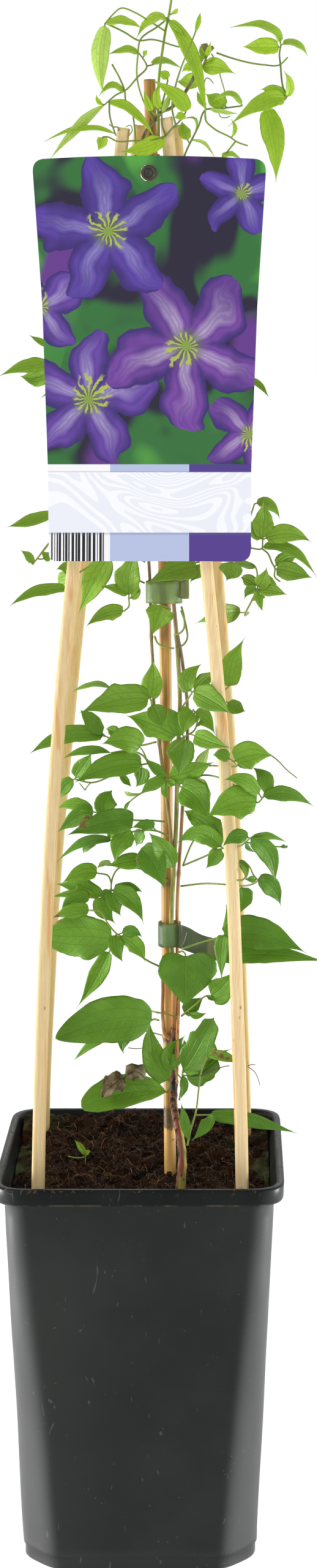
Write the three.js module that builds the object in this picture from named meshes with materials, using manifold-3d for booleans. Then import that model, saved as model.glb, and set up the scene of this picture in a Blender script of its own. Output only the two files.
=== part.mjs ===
// Clematis in a square nursery pot, climbing a wigwam of four split canes round a centre cane.
// Millimetres, +Z up, -Y is the front. The origin is the centre of the pot's underside.
import * as THREE from 'three';
import { mergeVertices } from 'three/addons/utils/BufferGeometryUtils.js';
import Module from 'manifold-3d';

const wasm = await Module();
wasm.setup();

// ---------------------------------------------------------------- driving dimensions
const POT_H = 200; // pot height
const RIM = 75; // half width of the rim
const RIM_DROP = 8.5; // height of the rim's skirt
const WALL = 1.6; // pot wall
const BODY_TOP = 70.2; // half width of the body under the rim
const BODY_FOOT = 61; // half width of the body at the foot
const FOOT_H = 7;
const FOOT_INSET = 0.9;
const FLOOR = 3;
const GAP = 0.35; // clearance between neighbouring pieces
const STICK = 3.4; // half width of a split cane
const CANE_R = 3.25; // radius of the centre cane
const BLADE = 0.64; // thickness of a leaf blade
const STALK = 0.55; // radius of a leaf stalk
const LABEL_T = 0.8; // thickness of the label card
const LABEL_TOP = [730, -30]; // height and depth of the label's top edge
const LABEL_LOW = [518, -45]; // and of its lower edge

// Foliage is set out on a perspective elevation drawn from a point in front of the plant.
const EYE = [46, -1451, 629];

function at(x, z, y = 0) {
  const s = 1 + y / -EYE[1];
  return new THREE.Vector3(EYE[0] + (x - EYE[0]) * s, y, EYE[2] + (z - EYE[2]) * s);
}

// ---------------------------------------------------------------- solids
function solid(geometry) {
  const g = geometry.clone();
  g.deleteAttribute('normal');
  g.deleteAttribute('uv');
  const m = mergeVertices(g, 1e-5);
  return new wasm.Manifold(new wasm.Mesh({
    numProp: 3,
    vertProperties: new Float32Array(m.attributes.position.array),
    triVerts: new Uint32Array(m.index.array),
  }));
}

function geometryOf(body) {
  const mesh = body.getMesh();
  const g = new THREE.BufferGeometry();
  g.setAttribute('position', new THREE.BufferAttribute(new Float32Array(mesh.vertProperties), 3));
  g.setIndex(new THREE.BufferAttribute(new Uint32Array(mesh.triVerts), 1));
  g.computeVertexNormals();
  return g;
}

function fromLists(points, faces) {
  const g = new THREE.BufferGeometry();
  g.setAttribute('position', new THREE.Float32BufferAttribute(points.flatMap((p) => [p.x, p.y, p.z]), 3));
  g.setIndex(faces.flat());
  return g;
}

// Rings of equal length joined to a closed skin, each end closed by a fan to its centre.
function skin(rings) {
  const n = rings[0].length;
  const points = rings.flat();
  const faces = [];
  for (let k = 0; k + 1 < rings.length; k += 1) {
    for (let i = 0; i < n; i += 1) {
      const j = (i + 1) % n;
      const a = k * n + i;
      const b = k * n + j;
      faces.push([a, b, b + n], [a, b + n, a + n]);
    }
  }
  const low = points.length;
  points.push(mean(rings[0]), mean(rings[rings.length - 1]));
  const top = (rings.length - 1) * n;
  for (let i = 0; i < n; i += 1) {
    const j = (i + 1) % n;
    faces.push([low, j, i], [low + 1, top + i, top + j]);
  }
  return fromLists(points, faces);
}

function mean(ring) {
  const c = new THREE.Vector3();
  ring.forEach((p) => c.add(p));
  return c.multiplyScalar(1 / ring.length);
}

// A tube along listed points, with a radius at each and a cross-section given by `outline`.
function tube(points, radii, outline) {
  const rings = [];
  let side = new THREE.Vector3(1, 0, 0);
  points.forEach((p, i) => {
    const a = points[Math.max(i - 1, 0)];
    const b = points[Math.min(i + 1, points.length - 1)];
    const t = b.clone().sub(a).normalize();
    if (i === 0 && Math.abs(t.x) > 0.9) side = new THREE.Vector3(0, 1, 0);
    const u = side.clone().addScaledVector(t, -side.dot(t)).normalize();
    const v = t.clone().cross(u);
    const r = Array.isArray(radii) ? radii[i] : radii;
    rings.push(outline.map(([c, s]) => p.clone().addScaledVector(u, c * r).addScaledVector(v, s * r)));
    side = u;
  });
  return skin(rings);
}

function circle(n) {
  return Array.from({ length: n }, (_, i) => {
    const a = (2 * Math.PI * i) / n;
    return [Math.cos(a), Math.sin(a)];
  });
}

const TRIANGLE = circle(3);
const DIAMOND = circle(4);
const PENTAGON = circle(5);
const ROUND = circle(8);
const SQUARE = [
  [1, 0.55], [0.55, 1], [-0.55, 1], [-1, 0.55], [-1, -0.55], [-0.55, -1], [0.55, -1], [1, -0.55],
];

// A smooth line through listed points, one ring every `step` mm.
function smooth(points, step) {
  if (points.length < 3) return points;
  const curve = new THREE.CatmullRomCurve3(points, false, 'centripetal');
  const n = Math.max(points.length - 1, Math.round(curve.getLength() / step));
  return curve.getSpacedPoints(n);
}

function join(bodies) {
  let all = bodies[0];
  for (let i = 1; i < bodies.length; i += 1) all = all.add(bodies[i]);
  return all;
}

// ---------------------------------------------------------------- leaf blades
// Half widths along a blade, as [position, width, forward sweep of the edge], in parts of its size.
const OUTLINES = {
  ovate: [[0.17, 0.86, 0], [0.4, 1, 0], [0.74, 0.58, 0]],
  small: [[0.26, 1, 0], [0.64, 0.8, 0]],
  lance: [[0.3, 1, 0], [0.7, 0.72, 0]],
  heart: [[0.04, 0.66, -0.14], [0.16, 0.97, -0.06], [0.4, 1, 0], [0.64, 0.72, 0], [0.84, 0.36, 0]],
  lobed: [[0.12, 0.6, 0], [0.36, 1, 0.12], [0.48, 0.5, 0], [0.68, 0.46, 0], [0.86, 0.24, 0]],
};
const NARROW = 6; // blades narrower than this are left without a fold along the midrib
const SMALL = 10.4; // and below this an ovate blade has fewer rows
const SLIVER = 0.02; // flakes thinner than this are cleared from a joined solid
const FOLD = 0.22; // rise of the two halves from the midrib

// A blade on its own short stalk: start on the stalk, base, middle and tip of the midrib.
// Roll 0 faces the front, 90 lies flat and 180 shows the underside.
function blade(start, base, middle, tip, width, roll, kind) {
  const control = middle.clone().multiplyScalar(2).addScaledVector(start, -0.5).addScaledVector(tip, -0.5);
  const rib = new THREE.QuadraticBezierCurve3(start, control, tip);
  const away = new THREE.Vector3(0, 1, 0);
  const up = away.clone().cross(tip.clone().sub(start).normalize());
  const sign = Math.abs(up.z) > 0.08 ? Math.sign(up.z) : Math.sign(up.x) || 1;
  const c = Math.cos(THREE.MathUtils.degToRad(roll));
  const s = Math.sin(THREE.MathUtils.degToRad(roll));
  const length = start.distanceTo(tip);
  const foot = start.distanceTo(base) / (start.distanceTo(base) + base.distanceTo(tip));
  const rows = foot > 0.05 ? [[foot, 0.5, 0, 1]] : [];
  const outline = OUTLINES[kind === 'ovate' && width < SMALL ? 'small' : kind];
  outline.forEach(([t, f, sweep]) => rows.push([foot + (1 - foot) * t, (f * width) / 2, sweep, 1]));
  const top = [];
  const low = [];
  const grid = [];
  const put = (t, across, sweep, thick) => {
    const p = rib.getPoint(t);
    const tangent = rib.getTangent(t);
    const d = away.clone().addScaledVector(tangent, -away.dot(tangent)).normalize();
    const v = d.clone().cross(tangent).normalize().multiplyScalar(sign);
    const w = v.clone().multiplyScalar(c).addScaledVector(d, s);
    const n = d.clone().multiplyScalar(-c).addScaledVector(v, s);
    p.addScaledVector(w, across).addScaledVector(n, FOLD * Math.abs(across));
    p.addScaledVector(tangent, sweep * length);
    top.push(p.clone().addScaledVector(n, (thick * BLADE) / 2));
    low.push(p.clone().addScaledVector(n, (-thick * BLADE) / 2));
    return top.length - 1;
  };
  grid.push([put(0, 0, 0, 0.3)]);
  rows.forEach(([t, half, sweep, thick]) => {
    const folded = width >= NARROW && half > 1;
    const row = [put(t, -half, sweep, thick)];
    if (folded) row.push(put(t, 0, 0, thick));
    row.push(put(t, half, sweep, thick));
    grid.push(row);
  });
  grid.push([put(1, 0, 0, 1)]);
  const upper = [];
  for (let k = 0; k + 1 < grid.length; k += 1) upper.push(...between(grid[k], grid[k + 1]));
  const left = grid.map((row) => row[0]);
  const right = grid.slice(1, -1).map((row) => row[row.length - 1]).reverse();
  const edge = [...left, ...right];
  const n = top.length;
  const faces = upper.map(([a, b, d]) => [a, b, d]);
  upper.forEach(([a, b, d]) => faces.push([a + n, d + n, b + n]));
  edge.forEach((a, i) => {
    const b = edge[(i + 1) % edge.length];
    faces.push([b, a, a + n], [b, a + n, b + n]);
  });
  const form = solid(fromLists([...top, ...low], faces));
  return form.volume() > 0 ? form : solid(fromLists([...top, ...low], faces.map(([a, b, d]) => [a, d, b])));
}

// Triangles between two rows of one, two or three points.
function between(a, b) {
  const faces = [];
  let i = 0;
  let j = 0;
  while (i < a.length - 1 || j < b.length - 1) {
    const nextA = (i + 1) / Math.max(a.length - 1, 1);
    const nextB = (j + 1) / Math.max(b.length - 1, 1);
    if (j < b.length - 1 && (i === a.length - 1 || nextB <= nextA)) {
      faces.push([a[i], b[j], b[j + 1]]);
      j += 1;
    } else {
      faces.push([a[i], b[j], a[i + 1]]);
      i += 1;
    }
  }
  return faces;
}

// ---------------------------------------------------------------- the scene graph
const plant = new THREE.Group();

function add(name, body, colour, roughness = 0.6) {
  const material = new THREE.MeshStandardMaterial({ color: colour, roughness, metalness: 0 });
  const mesh = new THREE.Mesh(geometryOf(body), material);
  mesh.name = name;
  plant.add(mesh);
  return body;
}

// ---------------------------------------------------------------- pot
// Square section: corners run from round (flat 0) to a plain chamfer (flat 1).
function squareRing(z, half, corner, flat) {
  const ring = [];
  for (let q = 0; q < 4; q += 1) {
    for (let i = 0; i < 4; i += 1) {
      const a = (i / 3) * (Math.PI / 2);
      const rx = half - corner + corner * Math.cos(a);
      const ry = half - corner + corner * Math.sin(a);
      const x = rx + flat * (half - (corner * i) / 3 - rx);
      const y = ry + flat * (half - corner + (corner * i) / 3 - ry);
      const turn = (q * Math.PI) / 2;
      ring.push(new THREE.Vector3(
        x * Math.cos(turn) - y * Math.sin(turn),
        x * Math.sin(turn) + y * Math.cos(turn),
        z,
      ));
    }
  }
  return ring;
}

// height, half width, corner size, flatness of the corner
const BODY = [
  [FOOT_H, BODY_FOOT, 16, 1],
  [60, 63.6, 14, 1],
  [110, 66, 11.5, 0.9],
  [150, 68, 9.5, 0.6],
  [172, 69.1, 9.5, 0.2],
  [POT_H - 2, BODY_TOP, 9.5, 0],
];

const inner = [
  [POT_H - 2, RIM - 4.1, 9.6, 0],
  [POT_H - 8, BODY_TOP - WALL, 8.6, 0],
  ...BODY.slice(0, -1).reverse().map(([z, h, c, f]) => [z, h - WALL, c - 0.6, f]),
  [FLOOR, BODY_FOOT - WALL - 0.5, 15.4, 1],
];

const potRings = [
  [0, BODY_FOOT - FOOT_INSET, 15.6, 1],
  [FOOT_H, BODY_FOOT - FOOT_INSET, 15.6, 1],
  ...BODY,
  [POT_H - 2, RIM - 1.5, 11, 0],
  [POT_H - RIM_DROP, RIM - 1.7, 10.8, 0],
  [POT_H - RIM_DROP, RIM - 0.3, 11.8, 0],
  [POT_H - 0.8, RIM, 12, 0],
  [POT_H, RIM - 0.6, 11.4, 0],
  [POT_H, RIM - 3.4, 10, 0],
  ...inner,
];

let pot = solid(skin(potRings.map((r) => squareRing(...r))));
[[-34, -34], [34, -34], [34, 34], [-34, 34]].forEach(([x, y]) => {
  const hole = new THREE.CylinderGeometry(5, 5, 12, 12).rotateX(Math.PI / 2).translate(x, y, 1);
  pot = pot.subtract(solid(hole));
});
add('pot', pot, 0x26282a, 0.55);

// ---------------------------------------------------------------- canes
const STICKS = {
  stick_front_left: [
    [-53, -50.5, 60], [-52.7, -50.3, 192], [-50.6, -48, 280], [-47, -44, 364],
    [-41.4, -40, 445], [-34.9, -35, 517], [-24, -24.1, 617], [-9.8, -10, 746.3],
  ],
  stick_front_right: [
    [52.4, -49.4, 60], [53.2, -50.2, 192], [50.9, -48, 280], [47.4, -44.2, 364],
    [41.8, -40.6, 440], [34.4, -35, 517], [24.8, -24, 622], [13, -10, 751.8],
  ],
  stick_back_left: [
    [-52.4, 46.4, 60], [-56.7, 50.5, 201], [-53.5, 48, 275], [-49.1, 45, 347.6],
    [-43, 40, 415.4], [-32.5, 28.5, 512], [-17, 18, 630], [-1.3, 8, 749.7],
  ],
  stick_back_right: [
    [52.8, 46, 60], [55.4, 48, 194], [53.3, 47, 270], [50.4, 45, 347.6],
    [46.5, 39.5, 415], [39.3, 28.5, 512], [28, 18, 630], [17.2, 8, 749.7],
  ],
};

function points(rows) {
  return rows.map(([x, y, z]) => new THREE.Vector3(x, y, z));
}

const CANE = new THREE.CatmullRomCurve3(points([
  [15.2, -11.5, 55], [15, -11, 195], [13.7, -8.8, 300], [12.7, -7, 430],
  [12.1, -6, 490], [8.2, -2.7, 620], [3.7, 0, 773],
]), false, 'centripetal');
const CANE_JOINTS = [262, 345, 426, 508, 590, 668, 742];

function caneAt(z) {
  let a = 0;
  let b = 1;
  for (let i = 0; i < 24; i += 1) {
    const m = (a + b) / 2;
    if (CANE.getPoint(m).z < z) a = m;
    else b = m;
  }
  return CANE.getPoint((a + b) / 2);
}

function cane(extra) {
  const stations = [[55, CANE_R]];
  CANE_JOINTS.forEach((z) => stations.push([z - 2.5, CANE_R - 0.1], [z, CANE_R + 0.4]));
  stations.push([773, CANE_R - 0.2]);
  return solid(tube(stations.map(([z]) => caneAt(z)), stations.map(([, r]) => r + extra), ROUND));
}

const sticks = Object.entries(STICKS).map(([name, rows]) => {
  const line = smooth(points(rows), 110);
  const holeLine = line.slice(0, 4).map((p) => p.clone());
  holeLine[0].z -= GAP;
  add(name, solid(tube(line, STICK, SQUARE)), 0xe6cf9c, 0.65);
  return solid(tube(holeLine, STICK + GAP * 1.4, SQUARE));
});
add('centre_cane', cane(0), 0xb98d4e, 0.6);

// ---------------------------------------------------------------- woody stems
// elevation x, elevation z, depth, radius
const ROOTSTOCK = [
  [20.4, 160, -48, 2.6], [20.3, 177, -48, 2.6], [21.3, 195, -45, 2.3], [20.2, 205, -41, 2.1],
  [18, 215, -35, 2], [16.6, 224, -27, 1.9], [16.6, 230, -21, 2], [17, 240, -17.5, 1.9],
  [16.6, 250, -16, 2.2], [16.6, 258, -15, 2.6], [16.8, 264, -14.8, 1.7],
];
const STEMS = [
  // main stem up through both ties and on behind the label
  [
    [16.8, 262, -14.8, 1.4], [17, 280, -14.6, 1.3], [16, 300, -13.9, 1.3], [15.4, 312, -13.4, 1.3],
    [15.4, 322, -13.4, 1.3], [16.6, 348, -13.6, 1.25], [18, 375, -13.4, 1.2], [18.5, 395, -13, 1.2],
    [19.4, 420, -12.8, 1.2], [20, 440, -12.4, 1.15], [19.2, 458, -12, 1.15], [18.2, 475, -11.6, 1.15],
    [16.6, 492, -10.8, 1.1], [15.5, 505, -10.8, 1.1], [12, 545, -11, 1.1], [9, 590, -10.5, 1.1],
    [6.4, 640, -9.6, 1.1], [5.8, 690, -9, 1], [7, 720, -9, 1], [8.3, 733, -9, 0.9],
  ],
  // second stem, right of the centre cane
  [
    [17, 232, -20, 1], [18.3, 240, -19, 0.95], [18.4, 252, -18.4, 0.95], [19, 268, -15.5, 0.95],
    [19.2, 284, -13, 0.95], [18.7, 300, -11, 0.95], [18.5, 315, -10.6, 0.95], [18.6, 330, -11, 0.95],
    [19.6, 352, -11.5, 0.95], [20.8, 372, -11.5, 0.95], [22, 392, -11.5, 0.95], [24.2, 425, -11.8, 0.9],
    [23.8, 440, -12, 0.9], [22, 455, -12, 0.9], [20.3, 467, -11.9, 0.9], [18.4, 475, -11.6, 0.9],
  ],
  // third stem, crossing the cane to its left side
  [
    [16.8, 350, -13.6, 0.9], [15.6, 362, -14, 0.9], [14.2, 376, -13.8, 0.9], [12.4, 390, -13.4, 0.9],
    [10.4, 405, -13, 0.9], [8.6, 419, -12.4, 0.95], [6.4, 433, -11.6, 0.9], [5.6, 447, -10.6, 0.85],
    [5.4, 460, -9.6, 0.85], [4.7, 472, -8.8, 0.85], [4.2, 487, -8.4, 0.85], [3.8, 505, -8.4, 0.85],
    [1.2, 540, -9.4, 0.85], [-2, 590, -10.4, 0.85], [-4, 640, -11, 0.85], [-5, 690, -12, 0.85],
    [-4.3, 718, -13, 0.8], [-3.6, 733, -13.6, 0.75],
  ],
  // short stem on the left of the cane
  [
    [16, 257, -15.2, 1.1], [12.4, 260, -14.6, 1], [10.9, 268, -14, 0.95], [10.8, 285, -13.4, 0.95],
    [10.4, 297, -12.8, 1],
  ],
  // brown stem leaning out to the right over the cane tops
  [
    [-4.6, 700, -12.4, 0.9], [-3, 718, -10.6, 0.9], [-1.4, 734, -8.6, 0.95], [0.8, 743, -7, 1],
    [4, 748.4, -6.2, 1], [7.2, 752, -6, 1], [10, 755.6, -5.6, 1], [14.5, 757.4, -4, 1],
    [19.4, 761.6, -3, 1], [24, 768, -2.5, 1], [28, 775.5, -2, 1], [31, 783, -1.6, 1.1],
    [34.4, 787.6, -1.4, 1.3], [38, 790.6, -1.2, 1],
  ],
  [[34.4, 787.6, -1.4, 1.2], [33.4, 790.4, -1.6, 2.2], [33, 792.4, -1.8, 1.6]],
];

function stem(rows, sides = TRIANGLE) {
  return solid(tube(rows.map(([x, z, y]) => at(x, z, y)), rows.map(([, , , r]) => r), sides));
}

const [mainStem, ...thinStems] = STEMS;
const stems = [stem(ROOTSTOCK, PENTAGON), stem(mainStem, DIAMOND), ...thinStems.map((rows) => stem(rows))];
add('woody_stems', join(stems).simplify(SLIVER), 0x7a5a3c, 0.7);

// ---------------------------------------------------------------- soil
function ground(x, y) {
  const fine = Math.sin(0.31 * x + 1.3) * Math.sin(0.37 * y + 0.4) + Math.sin(0.53 * x - 0.29 * y);
  const coarse = Math.sin(0.09 * x + 2) * Math.cos(0.11 * y - 0.6);
  const mound = 4.5 * Math.exp(-((x - 22) ** 2 + (y + 46) ** 2) / 220);
  return 190 + 0.07 * y + 1.1 * fine + 1.3 * coarse + mound;
}

const BED_CELLS = 9; // ups and downs along each side of the bed
const bed = new THREE.BoxGeometry(2 * RIM, 2 * RIM, 190, BED_CELLS, BED_CELLS, 1).translate(0, 0, 95);
const bedPoints = bed.attributes.position;
for (let i = 0; i < bedPoints.count; i += 1) {
  const high = bedPoints.getZ(i) > 100;
  bedPoints.setZ(i, high ? ground(bedPoints.getX(i), bedPoints.getY(i)) : 1);
}
const inside = [...inner].reverse().map(([z, h, c, f]) => {
  const height = z === FLOOR ? z + GAP : z;
  return squareRing(height, h - 1.3 * GAP, c - 0.1, f);
});
const rootHole = ROOTSTOCK.slice(0, 5).map(([x, z, y, r], i) => [x, i ? z : z - GAP, y, r + GAP * 1.5]);
let soil = solid(bed).intersect(solid(skin(inside)));
[...sticks, cane(GAP * 1.4), stem(rootHole, PENTAGON)].forEach((b) => {
  soil = soil.subtract(b);
});
add('soil', soil.simplify(SLIVER), 0x2b211b, 0.95);

// ---------------------------------------------------------------- ties
const TAPE_T = 0.7; // thickness of the tape

// A band of soft tape: an oval ring and a flap standing off one side.
function band(cx, cy, rx, ry, low, high, power, tail) {
  const oval = (k) => Array.from({ length: 18 }, (_, i) => {
    const a = (2 * Math.PI * i) / 18;
    const c = Math.cos(a);
    const s = Math.sin(a);
    const x = Math.sign(c) * Math.abs(c) ** power * (rx - k);
    const y = Math.sign(s) * Math.abs(s) ** power * (ry - k);
    return new THREE.Vector2(cx + x, cy + y);
  });
  const shape = new THREE.Shape(oval(0));
  shape.holes.push(new THREE.Path(oval(TAPE_T)));
  const ring = new THREE.ExtrudeGeometry(shape, { depth: high - low, bevelEnabled: false });
  const body = solid(ring.translate(0, 0, low));
  if (!tail) return body;
  const rings = tail.map(([x, y, z0, z1]) => {
    const front = y - TAPE_T / 2;
    const back = y + TAPE_T / 2;
    return points([[x, front, z0], [x, back, z0], [x, back, z1], [x, front, z1]]);
  });
  return body.add(solid(skin(rings)));
}

const TAPE = 0x5c7460;
add('tie_lower', band(14.6, -9.5, 6.2, 6.5, 310, 323, 1, [
  [19.2, -13.6, 310, 322.6], [24, -15.4, 308.6, 321.4], [32, -17.4, 306.4, 317.6],
  [40.4, -18.4, 304, 315.6],
]), TAPE, 0.55);
add('tie_upper', band(11.7, -7.6, 9.9, 6.9, 492.6, 505, 1, [
  [20.2, -10.8, 495.8, 504.6], [22, -12.4, 495.4, 505.4], [25.2, -12.9, 495.6, 506.6],
]), TAPE, 0.55);
add('tie_top', band(3.6, -1.6, 24.4, 20.2, 704, 716, 0.42), TAPE, 0.55);

// ---------------------------------------------------------------- label and its peg
const lean = Math.atan2(LABEL_TOP[1] - LABEL_LOW[1], LABEL_TOP[0] - LABEL_LOW[0]);
const tall = Math.hypot(LABEL_TOP[1] - LABEL_LOW[1], LABEL_TOP[0] - LABEL_LOW[0]);
const card = new THREE.Shape();
card.moveTo(-43.4, 0);
card.lineTo(52.4, 0);
card.quadraticCurveTo(57.6, 0.2, 57.8, 6);
card.lineTo(58, 48);
card.lineTo(61.2, 133);
card.lineTo(65.8, 204);
card.quadraticCurveTo(66, 211, 58.5, tall - 1.6);
card.quadraticCurveTo(4, tall + 1.6, -49.5, tall - 1.6);
card.quadraticCurveTo(-57.2, 211, -56.8, 204);
card.lineTo(-51.4, 133);
card.lineTo(-48.2, 50);
card.lineTo(-47.4, 4);
card.quadraticCurveTo(-47.3, 0.1, -43.4, 0);
const eyelet = new THREE.Path();
eyelet.absellipse(4.2, 203.4, 4.6, 4.6, 0, 2 * Math.PI);
card.holes.push(eyelet);
const cardForm = { depth: LABEL_T, bevelEnabled: false, curveSegments: 6 };
const cardShape = new THREE.ExtrudeGeometry(card, cardForm);
cardShape.rotateX(Math.PI / 2 - lean).translate(0, LABEL_LOW[1], LABEL_LOW[0]);
add('label', solid(cardShape), 0x5b3f8f, 0.45);

// radius and height of the peg's profile
const PEG = [[0, 0], [4.2, 0], [4.2, 1.2], [3.1, 1.6], [3.1, 10.6], [2, 11.4], [0, 11.4]];
const peg = new THREE.LatheGeometry(PEG.map(([r, h]) => new THREE.Vector2(r, h)), 12);
add('label_peg', solid(peg.translate(4.2, -32.4, 721)), 0x2e3320, 0.5);

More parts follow.
